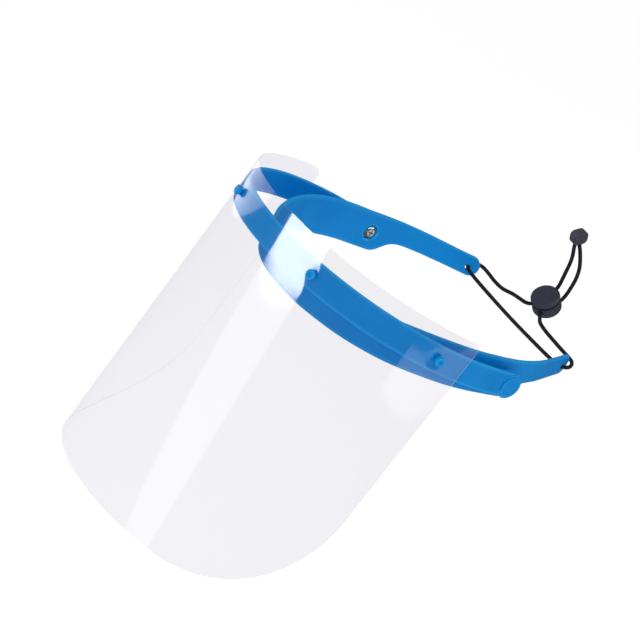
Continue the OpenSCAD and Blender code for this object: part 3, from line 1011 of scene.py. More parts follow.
@dataclass
class Studio:
    """Camera, plain floor and soft lights.

    Attributes:
        eye: The camera's place.
        right: The direction of the view's right edge.
        up: The direction of the view's upper edge.
        lens: The focal length in millimetres.
        sensor: The width of the sensor in millimetres.
        floor_drop: How far the floor lies below the origin.
        floor_reach: How far it runs from the middle.
        ambient: The brightness of the surroundings on plain surfaces.
        dim_room: Their brightness in reflections, away from the soft lights.
        floor_glow: The light that the floor gives off itself.
    """

    eye: tuple[float, float, float] = (0.80286, -0.87498, 0.44692)
    right: tuple[float, float, float] = (0.48411, 0.74969, 0.45123)
    up: tuple[float, float, float] = (-0.58140, -0.10979, 0.80617)
    lens: float = 122.63
    sensor: float = 36
    floor_drop: float = 0.62
    floor_reach: float = 30
    ambient: float = 0.62
    dim_room: float = 0.08
    floor_glow: float = 0.43

    def camera(self) -> None:
        """Makes the camera."""
        data = bpy.data.cameras.new("camera")
        data.lens = self.lens
        data.sensor_width = self.sensor
        data.clip_start = 0.01
        eye = bpy.data.objects.new("camera", data)
        right, up = Vector(self.right).normalized(), Vector(self.up).normalized()
        turn = Matrix((right, up, right.cross(up))).transposed()
        eye.matrix_world = Matrix.Translation(self.eye) @ turn.to_4x4()
        bpy.context.scene.collection.objects.link(eye)
        bpy.context.scene.camera = eye

    def softbox(self, name: str, place: Sequence[float], target: Sequence[float], size: float,
                radiance: float) -> None:
        """Makes a square soft light.

        Args:
            name: The light's name.
            place: Its middle.
            target: The point that it faces.
            size: The length of its sides.
            radiance: The brightness of its face.
        """
        data = bpy.data.lights.new(name, "AREA")
        data.shape = "SQUARE"
        data.size = size
        data.energy = radiance * math.pi * size * size
        light = bpy.data.objects.new(name, data)
        aim = (Vector(target) - Vector(place)).to_track_quat("-Z", "Y").to_matrix().to_4x4()
        light.matrix_world = Matrix.Translation(place) @ aim
        light.visible_camera = False
        bpy.context.scene.collection.objects.link(light)

    def panel(self, name: str, corners: Sequence[Sequence[float]],
              heights: tuple[float, float], radiance: tuple[float, float]) -> None:
        """Makes a flat glowing panel that shows only in reflections.

        Args:
            name: The panel's name.
            corners: Its four corners in order.
            heights: The two heights between which its brightness changes.
            radiance: The brightness of its face at those heights.
        """
        shape = bmesh.new()
        bmesh.ops.create_grid(shape, x_segments=1, y_segments=1, size=1)
        around = sorted(shape.verts, key=lambda v: math.atan2(v.co.y, v.co.x))
        for vert, corner in zip(around, corners):
            vert.co = corner
        obj = object_from(name, shape)
        material, shader, _ = blank_material(name)
        shader.inputs["Base Color"].default_value = (0, 0, 0, 1)
        shader.inputs["Emission Color"].default_value = (1, 1, 1, 1)
        nodes, links = material.node_tree.nodes, material.node_tree.links
        place, split = nodes.new("ShaderNodeTexCoord"), nodes.new("ShaderNodeSeparateXYZ")
        glow = nodes.new("ShaderNodeMapRange")
        glow.inputs["From Min"].default_value, glow.inputs["From Max"].default_value = heights
        glow.inputs["To Min"].default_value, glow.inputs["To Max"].default_value = radiance
        links.new(place.outputs["Object"], split.inputs["Vector"])
        links.new(split.outputs["Z"], glow.inputs["Value"])
        links.new(glow.outputs["Result"], shader.inputs["Emission Strength"])
        obj.data.materials.append(material)
        obj.visible_camera = False
        obj.visible_diffuse = False
        obj.visible_shadow = False

    def surroundings(self) -> None:
        """Makes the white surroundings, which are dimmer in reflections."""
        scene = bpy.context.scene
        scene.view_settings.view_transform = "Standard"
        world = bpy.data.worlds.new("surroundings")
        world.use_nodes = True
        scene.world = world
        nodes, links = world.node_tree.nodes, world.node_tree.links
        nodes.clear()
        lit, mirrored = (nodes.new("ShaderNodeBackground") for _ in range(2))
        lit.inputs["Color"].default_value = (1, 1, 1, 1)
        lit.inputs["Strength"].default_value = self.ambient
        mirrored.inputs["Color"].default_value = (1, 1, 1, 1)
        mirrored.inputs["Strength"].default_value = self.dim_room
        rays, both = nodes.new("ShaderNodeLightPath"), nodes.new("ShaderNodeMixShader")
        out = nodes.new("ShaderNodeOutputWorld")
        links.new(rays.outputs["Is Glossy Ray"], both.inputs["Fac"])
        links.new(lit.outputs["Background"], both.inputs[1])
        links.new(mirrored.outputs["Background"], both.inputs[2])
        links.new(both.outputs["Shader"], out.inputs["Surface"])

    def floor(self) -> None:
        """Makes the pale floor."""
        shape = bmesh.new()
        bmesh.ops.create_grid(shape, x_segments=1, y_segments=1, size=self.floor_reach)
        bmesh.ops.translate(shape, verts=shape.verts, vec=(0, 0, -self.floor_drop))
        floor = object_from("floor", shape)
        material, shader, _ = blank_material("pale_floor")
        shader.inputs["Base Color"].default_value = (0.9, 0.9, 0.9, 1)
        shader.inputs["Roughness"].default_value = 0.9
        shader.inputs["Specular IOR Level"].default_value = 0.1
        shader.inputs["Emission Color"].default_value = (1, 1, 1, 1)
        shader.inputs["Emission Strength"].default_value = self.floor_glow
        floor.data.materials.append(material)
        floor.visible_glossy = False

    def lights(self) -> None:
        """Makes the soft lights and the glowing panels."""
        middle = (0, -0.02, -0.03)
        self.softbox("key", (0.9, -0.5, 1.5), middle, size=1.2, radiance=1.4)
        self.softbox("fill", (-1.2, -0.6, 1.2), middle, size=1.2, radiance=0.5)
        # the stripe down the film, strongest where it crosses the visor band
        self.panel("front_panel", ((-0.97, -1.35, 0.08), (0.165, -1.35, 0.08),
                                   (0.95, -1.35, -0.50), (0.67, -1.35, -0.50)),
                   heights=(-0.082, -0.056), radiance=(0.95, 10.5))
        # the soft veil over the film's left end
        self.panel("side_panel", ((1.1, 0.04, -0.262), (1.1, 1.5, -0.63),
                                  (1.1, 1.5, -0.80), (1.1, 0.04, -0.315)),
                   heights=(-0.70, -0.35), radiance=(0.5, 0.85))
        # the light on the screw heads and on the bands' upper edges
        self.panel("back_panel", ((1.3, 0.5, 0.5), (0.5, 1.4, 0.5),
                                  (0.4, 1.1, 1.3), (1.1, 0.3, 1.3)),
                   heights=(0.5, 1.3), radiance=(2.2, 2.2))
        # the veil over the visor band's right front
        self.panel("left_panel", ((-1.2, -0.93, -0.14), (-1.2, 0.40, -0.355),
                                  (-1.2, 0.40, -0.05), (-1.2, -0.93, -0.05)),
                   heights=(-0.34, -0.15), radiance=(5.3, 1.4))

    def build(self) -> None:
        """Makes everything but the camera."""
        self.surroundings()
        self.floor()
        self.lights()


# ---------------------------------------------------------------- headband


@dataclass
class Headband:
    """The moulded strip round the forehead, with its two rear arms and its pivot bosses.

    The points of its upper and lower edge are shares of the reach ahead of and behind the pivots,
    with their heights in millimetres.

    Attributes:
        curve: The strip's middle line.
        wall: Its thickness.
        boss_radius: The radius of a pivot boss.
        boss_proud: How far a boss stands out of the strip's outer face.
        boss_root: The share of the wall that a boss is sunk into.
        boss_floor: The plastic between the seat of the screw's head and the boss's face.
        seat_radius: The radius of the counterbore for the screw's head.
        screw_radius: The radius of the screw's hole.
        cord_hole: The radius of the cord's hole.
        cord_hole_in: Its distance from the arm's end.
        tip_height: The height of the arm's rounded end.
        tip_z: The height of the middle of that end.
        edge: The rounding of the strip's edges.
        lip: The width of the holes' broken edges.
        past: How far a cut runs out of the plastic.
    """

    curve: PlanCurve = field(default_factory=lambda: PlanCurve(
        width=148 * MM, flare=5, run=16 * MM, side_radius=107 * MM, side_turn=45,
        arm_radius=126 * MM, arm_turn=19.5, arm_run=35.5 * MM))
    wall: float = 2.2 * MM
    boss_radius: float = 7.5 * MM
    boss_proud: float = 1.7 * MM
    boss_root: float = 0.7
    boss_floor: float = 1.5 * MM
    seat_radius: float = 4.8 * MM
    screw_radius: float = 2.08 * MM
    cord_hole: float = 1.65 * MM
    cord_hole_in: float = 7.5 * MM
    tip_height: float = 13 * MM
    tip_z: float = 1.2 * MM
    edge: float = 0.5 * MM
    lip: float = 0.3 * MM
    past: float = 5 * MM

    top_points = ((-1.06, 14.6), (-0.95, 15.7), (-0.8, 17.7), (-0.63, 18.7), (-0.46, 18.2),
                  (-0.3, 16.8), (-0.14, 14.9), (0, 13.1), (0.27, 11.4), (0.54, 9.8), (0.8, 8.2))
    low_points = ((-1.06, -2.7), (-0.95, -3.1), (-0.84, -4.4), (-0.68, -5.9), (-0.5, -6.7),
                  (-0.34, -7.9), (-0.18, -9.3), (-0.04, -10.9), (0.055, -11.7), (0.11, -10.9),
                  (0.16, -8.2), (0.21, -5.2), (0.265, -3.5), (0.34, -3.0), (0.47, -3.3),
                  (0.65, -3.9), (0.84, -4.8))

    def _line(self, points: Sequence[tuple[float, float]], sign: int) -> list[tuple[float, ...]]:
        """The upper or lower edge as (y, z), with the arm's rounded end.

        Args:
            points: The edge's points, as shares of the reach ahead of and behind the pivots.
            sign: 1 for the upper edge and -1 for the lower.

        Returns:
            The points of the edge, from the front to the arm's end.
        """
        front = -self.curve.at(0)[1]
        _, reach, angle = self.curve.at(self.curve.reach)
        line = [(y * (front if y < 0 else reach), z * MM) for y, z in smooth_line(points, 8)]
        half = self.tip_height / 2
        for step in range(17):
            a = math.radians(80 - 5 * step)
            line.append((reach - half * math.cos(angle) * (1 - math.cos(a)),
                         self.tip_z + sign * half * math.sin(a)))
        return line

    def build(self, material: bpy.types.Material) -> None:
        """Models the headband and dresses it.

        Args:
            material: The band's plastic.
        """
        top, low = self._line(self.top_points, 1), self._line(self.low_points, -1)
        end, half = self.curve.reach, self.tip_height / 2
        tail = [end - half * (1 - math.cos(math.radians(a))) for a in range(84, 8, -6)]
        stations = [-s for s in reversed(tail)] + spread(-(end - half), end - half, 260) + tail

        def edges(s: float) -> tuple[float, float]:
            """The heights of the two edges at s."""
            y = self.curve.at(s)[1]
            return height_on(low, y), height_on(top, y)

        band = curved_strip("forehead_band", self.curve, stations, 10, edges, 0, self.wall,
                            self.edge)
        outer = self.curve.width / 2 + self.wall / 2
        inner, root = outer - self.wall, outer - self.wall * self.boss_root
        face = outer + self.boss_proud
        seat = face - self.boss_floor
        lip, past = self.lip, self.past
        bosses, holes = [], []
        for side in Side:
            sideways = Matrix.Rotation(side.value * math.pi / 2, 4, "Y")
            bosses.append(turned("boss", rounded([
                (0, root, 0), (self.boss_radius, root, 0),
                (self.boss_radius, face, 0.4 * MM), (0, face, 0)]), sideways))
            holes.append(turned("hole", [
                (0, inner - past), (self.seat_radius + lip, inner - past),
                (self.seat_radius + lip, inner), (self.seat_radius, inner + lip),
                (self.seat_radius, seat), (self.screw_radius, seat),
                (self.screw_radius, face + past), (0, face + past)], sideways))
            at = self.curve.axis_at(side.value * (end - self.cord_hole_in), 0)
            r, t = self.cord_hole, self.wall / 2
            holes.append(turned("hole", [
                (0, -past), (r + lip, -past), (r + lip, -t), (r, -t + lip), (r, t - lip),
                (r + lip, t), (r + lip, past), (0, past)], at, 40))
        combine(band, bosses, "UNION")
        combine(band, holes, "DIFFERENCE")
        dress(band, material, Body.HEADBAND, "headband")


# ---------------------------------------------------------------- visor


@dataclass
class Visor:
    """The tilting band with its pivot hubs, caps, pegs and the clear film.

    Attributes:
        curve: The band's middle line.
        lift: How far the visor is tilted up as stored, in degrees.
        height: The band's height.
        wall: Its thickness.
        rise: How far its middle rises from the pivots to the front.
        taper_from: How far ahead of the pivots it has risen.
        edge: The rounding of its edges.
        peg_front: The distance of a front peg from the middle, along the band.
        peg_side: That of a side peg.
        peg_radius: The radius of a peg's head.
        peg_stem: The radius of its stem.
        peg_height: The height of its head.
        peg_dimple: The radius of the dimple in its head.
        hub_in: The distance of a hub's inner face from the middle plane.
        hub_out: That of its outer face.
        hub_radius: The radius of a hub.
        hub_margin: How far round a hub the band is cut flush with its inner face.
        hub_skim: How much is skimmed off that face, so that it is cut clean.
        screw_bore: The radius of the screw's hole.
        nut_pocket: The radius of the nut's pocket.
        nut_floor: The plastic under the nut.
        cap_seat: The radius of the cap's seat.
        cap_depth: The depth of that seat.
        cap_play: The clearance round a cap's plug.
        cap_lift: The clearance under it.
        cap_plug: The wall of the plug.
        cap_radius: The radius of a cap.
        cap_proud: How far a cap stands out of its hub.
        cap_rim: The width of the raised rim round its face.
        film: The film's thickness.
        film_gap: The clearance between the band and the film.
        film_length: The film's length round the curve.
        film_height: Its height.
        film_over: How far it stands above the band.
        film_hole: The radius of its holes.
        corner_length: The length of a lower corner's sweep.
        corner_height: The height of that sweep.
        corner_top: The radius of an upper corner.
        pucker_reach: How far from a peg the film is drawn in.
        pucker_depth: How far it is drawn in at the peg.
        past: How far a cut runs out of the plastic.
    """

    curve: PlanCurve = field(default_factory=lambda: PlanCurve(
        width=160 * MM, flare=12, run=22 * MM, side_radius=120 * MM, side_turn=40))
    lift: float = 11.0
    height: float = 15.5 * MM
    wall: float = 2.2 * MM
    rise: float = 0.75 * MM
    taper_from: float = 30 * MM
    edge: float = 0.45 * MM
    peg_front: float = 41 * MM
    peg_side: float = 125.5 * MM
    peg_radius: float = 2.7 * MM
    peg_stem: float = 1.8 * MM
    peg_height: float = 3.2 * MM
    peg_dimple: float = 1.1 * MM
    hub_in: float = 77.65 * MM
    hub_out: float = 82.45 * MM
    hub_radius: float = 7.75 * MM
    hub_margin: float = 3 * MM
    hub_skim: float = 0.01 * MM
    screw_bore: float = 2.05 * MM
    nut_pocket: float = 4.1 * MM
    nut_floor: float = 1 * MM
    cap_seat: float = 5.35 * MM
    cap_depth: float = 1.4 * MM
    cap_play: float = 0.05 * MM
    cap_lift: float = 0.1 * MM
    cap_plug: float = 1 * MM
    cap_radius: float = 6.5 * MM
    cap_proud: float = 0.9 * MM
    cap_rim: float = 1.4 * MM
    film: float = 0.5 * MM
    film_gap: float = 0.15 * MM
    film_length: float = 291 * MM
    film_height: float = 194 * MM
    film_over: float = 9.5 * MM
    film_hole: float = 2.2 * MM
    corner_length: float = 82 * MM
    corner_height: float = 69 * MM
    corner_top: float = 5 * MM
    pucker_reach: float = 5 * MM
    pucker_depth: float = 0.12 * MM
    past: float = 6 * MM

    @property
    def tilt(self) -> Matrix:
        """The turn of the visor about the pivots as stored."""
        return Matrix.Rotation(math.radians(-self.lift), 4, "X")

    def _pegs(self) -> list[bpy.types.Object]:
        """Makes the four round-headed pegs.

        Returns:
            The pegs, in the visor's own frame.
        """
        neck = self.wall / 2 + 2 * self.film_gap + self.film + 0.1 * MM
        top = neck + self.peg_height
        r, stem, dimple = self.peg_radius, self.peg_stem, self.peg_dimple
        profile = rounded([(0, 0, 0), (stem, 0, 0), (stem, neck, 0.15 * MM), (r, neck, 0.3 * MM),
                           (r, top, 1.1 * MM), (dimple, top, 0.35 * MM),
                           (0.5 * MM, top - 0.55 * MM, 0.3 * MM), (0, top - 0.6 * MM, 0)])
        return [turned("peg", profile, self.curve.axis_at(sign * s, self.rise), 40)
                for sign in (1, -1) for s in (self.peg_front, self.peg_side)]

    def _band(self, material: bpy.types.Material) -> None:
        """Models the band with its hubs and pegs.

        Args:
            material: The band's plastic.
        """
        top, half = self.rise + self.height / 2, self.height / 2

        def edges(s: float) -> tuple[float, float]:
            """Gives the band's height.

            Args:
                s: The distance along the band.

            Returns:
                The heights of its lower and its upper edge.
            """
            share = min(1.0, max(0.0, -self.curve.at(s)[1] / self.taper_from))
            high = half + (top - half) * share
            return high - self.height, high

        end = self.curve.reach
        band = curved_strip("visor_hoop", self.curve, spread(-end, end, 220), 8, edges, 0,
                            self.wall, self.edge)
        hubs, pockets = [], []
        for side in Side:
            sideways = Matrix.Rotation(side.value * math.pi / 2, 4, "Y")
            hubs.append(turned("hub", rounded([
                (0, self.hub_in, 0), (self.hub_radius, self.hub_in, 0.3 * MM),
                (self.hub_radius, self.hub_out, 0.45 * MM), (0, self.hub_out, 0)]), sideways))
            near, clear = self.hub_in - self.hub_skim, self.hub_radius + self.hub_margin
            nut, seat = self.hub_in + self.nut_floor, self.hub_out - self.cap_depth
            inside, outside = near - self.past, self.hub_out + self.past
            pockets.append(turned("pocket", [
                (0, inside), (clear, inside), (clear, near), (self.screw_bore, near),
                (self.screw_bore, nut), (self.nut_pocket, nut), (self.nut_pocket, seat),
                (self.cap_seat, seat), (self.cap_seat, outside), (0, outside)], sideways))
        combine(band, hubs + self._pegs(), "UNION")
        combine(band, pockets, "DIFFERENCE")
        band.data.transform(self.tilt)
        dress(band, material, Body.VISOR, "visor_band")

    def _caps(self, material: bpy.types.Material) -> None:
        """Models the caps that close the pivots.

        Args:
            material: The band's plastic.
        """
        for side, node in ((Side.LEFT, "pivot_cap_left"), (Side.RIGHT, "pivot_cap_right")):
            place = self.tilt @ Matrix.Rotation(side.value * math.pi / 2, 4, "Y")
            out, r = self.hub_out, self.cap_radius
            foot, roof = out - self.cap_depth + self.cap_lift, out - 0.3 * MM
            plug = self.cap_seat - self.cap_play
            hollow, dish = plug - self.cap_plug, r - self.cap_rim
            face = out + self.cap_proud
            sunk = face - 0.15 * MM
            cap = turned("cap_" + side.name.lower(), rounded([
                (0, roof, 0), (hollow, roof, 0), (hollow, foot, 0), (plug, foot, 0),
                (plug, out, 0), (r, out, 0.15 * MM), (r, face, 0.35 * MM),
                (dish, face, 0.1 * MM), (dish - 0.2 * MM, sunk, 0.1 * MM), (0, sunk, 0)]),
                place, 72)
            settle(cap)
            dress(cap, material, Body.VISOR, node)

    def _film(self, material: bpy.types.Material, cut: bpy.types.Material) -> None:
        """Models the clear film with its rounded corners and its four holes.

        Args:
            material: The film.
            cut: The film's cut edge.
        """
        end = self.film_length / 2
        top = self.rise + self.height / 2 + self.film_over
        low = top - self.film_height
        corner_from = end - self.corner_length

        def edges(s: float) -> tuple[float, float]:
            """Gives the film's height.

            Args:
                s: The distance along the film.

            Returns:
                The heights of its lower and its upper edge.
            """
            reach = max(0.0, abs(s) - corner_from) / self.corner_length
            bottom = low + self.corner_height * (1 - math.sqrt(max(0.0, 1 - reach * reach)))
            inset = max(0.0, abs(s) - (end - self.corner_top)) / self.corner_top
            return bottom, top - self.corner_top * (1 - math.sqrt(max(0.0, 1 - inset * inset)))

        tail = [corner_from + self.corner_length * math.sin(math.radians(a))
                for a in range(2, 70, 2)]
        tail += [end - self.corner_top * (1 - math.sin(math.radians(a))) for a in range(4, 80, 6)]
        tail = sorted(s for s in tail if s < end) + [end]
        stations = [-s for s in reversed(tail)] + spread(-corner_from, corner_from, 64) + tail
        middle = self.wall / 2 + self.film_gap + self.film / 2

        def pucker(s: float, z: float) -> float:
            """Gives how far the film is drawn in round its pegs.

            Args:
                s: The distance along the film.
                z: The height.

            Returns:
                How far it stands out, which is negative or zero.
            """
            drawn = 0.0
            for peg in (self.peg_front, self.peg_side):
                away = math.hypot(abs(s) - peg, z - self.rise)
                drawn += math.exp(-(away / self.pucker_reach) ** 2)
            return -self.pucker_depth * drawn

        film = curved_strip("clear_visor", self.curve, stations, 84, edges, middle, self.film, 0,
                            pucker, (material, cut))
        r, deep = self.film_hole, self.past
        holes = [turned("hole", [(0, 0), (r, 0), (r, deep), (0, deep)],
                        self.curve.axis_at(sign * s, self.rise), 32)
                 for sign in (1, -1) for s in (self.peg_front, self.peg_side)]
        combine(film, holes, "DIFFERENCE")
        film.data.transform(self.tilt)
        dress(film, material, Body.VISOR, "shield_sheet")

    def build(self, plastic: bpy.types.Material, clear: bpy.types.Material,
              cut: bpy.types.Material) -> None:
        """Models the visor's pieces and dresses them.

        Args:
            plastic: The band's plastic.
            clear: The film.
            cut: The film's cut edge.
        """
        self._band(plastic)
        self._caps(plastic)
        self._film(clear, cut)


# ---------------------------------------------------------------- cord, lock and clip


CORD_POINTS = (
    (0, 81.1, 57.6), (0, 82.4, 54.8), (-0.2, 83.6, 52.2), (-0.9, 86.3, 48.2),
    (-2, 89.2, 44), (-3.2, 91.9, 38.5), (-4, 93.5, 33), (-4.3, 94.6, 27.5), (-4.2, 94.9, 22.3),
    (-4.1, 93.3, 17.8), (-4.1, 90.4, 15), (-4.1, 87.5, 12.3), (-4.1, 84.6, 9.5), (-4.9, 82, 7.1),
    (-7.8, 80.3, 5.7), (-13, 79.4, 5), (-19, 78.4, 4.1), (-26, 76.8, 2.5), (-34, 76.6, 2.1),
    (-42, 76.6, 2.7), (-47.5, 76.4, 3), (-51.2, 75.2, 2.7), (-53.6, 72.6, 1.8),
    (-53.8, 69.6, 0.8), (-51.4, 67.2, 0), (-46, 65.6, -0.6), (-30, 65.2, -1.2), (0, 65, -1.6),
    (30, 65.2, -1.2), (46, 65.6, -0.6), (51.4, 67.2, 0), (53.8, 69.6, 0.8), (53.6, 72.6, 1.8),
    (51.2, 75.2, 2.7), (47.5, 76.4, 3.2), (40, 75.8, 3.6), (30, 75.6, 4), (21, 75.7, 4.4),
    (13.5, 76.8, 5), (8.6, 79.6, 6), (5.2, 82, 7.2), (4.5, 84.6, 9.5), (4.5, 87.5, 12.3),
    (4.5, 90.4, 15), (4.5, 93.3, 17.8), (4.3, 95, 22.2), (4.3, 95.3, 28), (4.2, 95, 34.5),
    (3.4, 93.6, 41), (2, 91, 47), (0.7, 88.3, 51.8), (0.1, 86.8, 54), (0, 85.6, 56.4),
    (0, 84.3, 59.2))


@dataclass
class ElasticCord:
    """The braided elastic cord from its end clip, through the lock and both arms, and back.

    Attributes:
        diameter: The cord's diameter.
        pieces: The number of pieces between neighbouring points of its route.
        facets: The number of extra sides in a quarter of its section.
    """

    diameter: float = 2.4 * MM
    pieces: int = 4
    facets: int = 4

    @property
    def route(self) -> list[Vector]:
        """The cord's middle line."""
        points = [tuple(c * MM for c in p) for p in CORD_POINTS]
        return [Vector(p) for p in smooth_line(points, self.pieces)]

    @property
    def length(self) -> float:
        """The length of the middle line."""
        line = self.route
        return sum((b - a).length for a, b in zip(line, line[1:]))

    def build(self, material: bpy.types.Material) -> bpy.types.Object:
        """Models the cord as a tube along its route and dresses it.

        Args:
            material: The braided cover.

        Returns:
            The cord.
        """
        data = bpy.data.curves.new("cord_line", "CURVE")
        data.dimensions = "3D"
        data.bevel_depth = self.diameter / 2
        data.bevel_resolution = self.facets
        data.use_fill_caps = True
        line = self.route
        spline = data.splines.new("POLY")
        spline.points.add(len(line) - 1)
        for point, place in zip(spline.points, line):
            point.co = (*place, 1)
        guide = bpy.data.objects.new("cord_line", data)
        bpy.context.scene.collection.objects.link(guide)
        graph = bpy.context.evaluated_depsgraph_get()
        mesh = bpy.data.meshes.new_from_object(guide.evaluated_get(graph))
        bpy.data.objects.remove(guide)
        cord = bpy.data.objects.new("elastic_loop", mesh)
        bpy.context.scene.collection.objects.link(cord)
        settle(cord)
        return dress(cord, material, Body.HEADBAND, "elastic_cord")

    def declare(self) -> None:
        """Works out the cord's length and keeps nothing of it.
        """
        self.length


@dataclass
class CordLock:
    """The round push-button lock that both strands of the cord pass through.

    Heights are along the push axis.

    Attributes:
        place: The origin of the lock's own frame.
        tilt: The turn of its push axis about X, in degrees.
        radius: The radius of the body and of the button's head.
        press: How far the button moves.
        cord_z: The height of the strands.
        hole_radius: The radius of the body's holes.
        mouth: How deep a hole's flared mouth goes.
        flare: How much wider the mouth is where it ends.
        pitch: The distance between the strands.
        cord_diameter: The cord's diameter.
        strand_play: The clearance under a strand.
        stem_radius: The radius of the button's stem.
        stem_play: The clearance round it.
        skin: The thickness of the body's collar round the stem.
        land: The plastic above the holes.
        gap: The clearance that is left above the body when the button is pressed.
        lap: How far the collar reaches into the button's head.
        slack: The clearance between the collar and the button's head.
        crown: The thickness of the button's head over the collar.
        brow: The height of the head's straight side.
        foot: The plastic between the slots and the stem's end.
        foot_gap: The clearance under the stem when it is pressed.
        base: The thickness of the body's floor.
        slot_play: How much lower than the strands' seat a slot is cut.
        slot_room: The height of a slot beyond the strand's and the press's.
        web_play: The clearance between a strand and the web between the slots.
        spring_well: The radius of the well for the spring.
        well_roof: How far below the collar's room that well ends.
    """

    place: tuple[float, float, float] = (0.2 * MM, 87 * MM, 12.9 * MM)
    tilt: float = 43.5
    radius: float = 9 * MM
    press: float = 1.6 * MM
    cord_z: float = -0.8 * MM
    hole_radius: float = 1.7 * MM
    mouth: float = 4 * MM
    flare: float = 2 * MM
    pitch: float = 8.6 * MM
    cord_diameter: float = 2.4 * MM
    strand_play: float = 0.05 * MM
    stem_radius: float = 6 * MM
    stem_play: float = 0.08 * MM
    skin: float = 1.3 * MM
    land: float = 0.4 * MM
    gap: float = 0.1 * MM
    lap: float = 0.2 * MM
    slack: float = 0.2 * MM
    crown: float = 1.7 * MM
    brow: float = 1.2 * MM
    foot: float = 1.2 * MM
    foot_gap: float = 0.15 * MM
    base: float = 1.4 * MM
    slot_play: float = 0.15 * MM
    slot_room: float = 1.4 * MM
    web_play: float = 0.35 * MM
    spring_well: float = 2.2 * MM
    well_roof: float = 2 * MM

    @property
    def frame(self) -> Matrix:
        """The lock's own frame."""
        return Matrix.Translation(self.place) @ Matrix.Rotation(math.radians(self.tilt), 4, "X")

    def build(self, material: bpy.types.Material) -> list[bpy.types.Object]:
        """Models the body and the button and dresses them.

        Args:
            material: The lock's plastic.

        Returns:
            The two pieces.
        """
        rim = self.cord_z + self.hole_radius + self.land
        skirt = rim + self.press + self.gap
        neck = skirt + self.lap
        ceiling = neck + self.press + self.gap
        dome = ceiling + self.crown
        slot = self.cord_z - self.cord_diameter / 2 - self.strand_play
        stem = slot - self.foot
        floor = stem - self.press - self.foot_gap
        base = floor - self.base
        bore = self.stem_radius + self.stem_play
        wall = bore + self.skin
        body = turned("lock_barrel", rounded([
            (0, base, 0), (self.radius, base, 2.4 * MM), (self.radius, rim, 0.35 * MM),
            (wall, rim, 0), (wall, neck, 0.2 * MM), (bore, neck, 0), (bore, floor, 0.3 * MM),
            (0, floor, 0)], 8), self.frame, 72)
        holes = []
        for sign in (1, -1):
            along = (self.frame @ Matrix.Translation((sign * self.pitch / 2, 0, self.cord_z))
                     @ Matrix.Rotation(math.pi / 2, 4, "X"))
            r, half, mouth = self.hole_radius, self.radius + 0.5 * MM, self.mouth
            wide, mid = r + self.flare, r + 0.35 * self.flare
            holes.append(turned("hole", [
                (0, -half), (wide, -half), (mid, -half + mouth / 2), (r, -half + mouth),
                (r, half - mouth), (mid, half - mouth / 2), (wide, half), (0, half)], along, 40))
        combine(body, holes, "DIFFERENCE")
        dress(body, material, Body.LOCK, "cord_lock_body")
        brow = skirt + self.brow
        crown = [(self.radius * math.cos(math.radians(a)) ** 0.55,
                  brow + (dome - brow) * math.sin(math.radians(a)) ** 0.9)
                 for a in range(0, 90, 5)]
        inner, well, roof = wall + self.slack, self.spring_well, ceiling - self.well_roof
        button = turned("lock_button", [
            (0, roof), (well, roof), (well, stem),
            (self.stem_radius, stem), (self.stem_radius, ceiling), (inner, ceiling),
            (inner, skirt), (self.radius - 0.3 * MM, skirt), (self.radius, skirt + 0.3 * MM),
            *crown, (0, dome)], self.frame, 72)
        slots = []
        web = self.pitch / 2 - self.cord_diameter / 2 - self.web_play
        for sign in (1, -1):
            shape = bmesh.new()
            bmesh.ops.create_cube(shape, size=1)
            size = (2 * self.radius, 4 * self.radius,
                    self.cord_diameter + self.press + self.slot_room)
            bmesh.ops.scale(shape, vec=size, verts=shape.verts)
            shift = (sign * (web + self.radius), 0, slot + size[2] / 2 - self.slot_play)
            bmesh.ops.transform(shape, matrix=self.frame @ Matrix.Translation(shift),
                                verts=shape.verts)
            slots.append(object_from("slot", shape))
        combine(button, slots, "DIFFERENCE")
        dress(button, material, Body.BUTTON, "cord_lock_button")
        return [body, button]


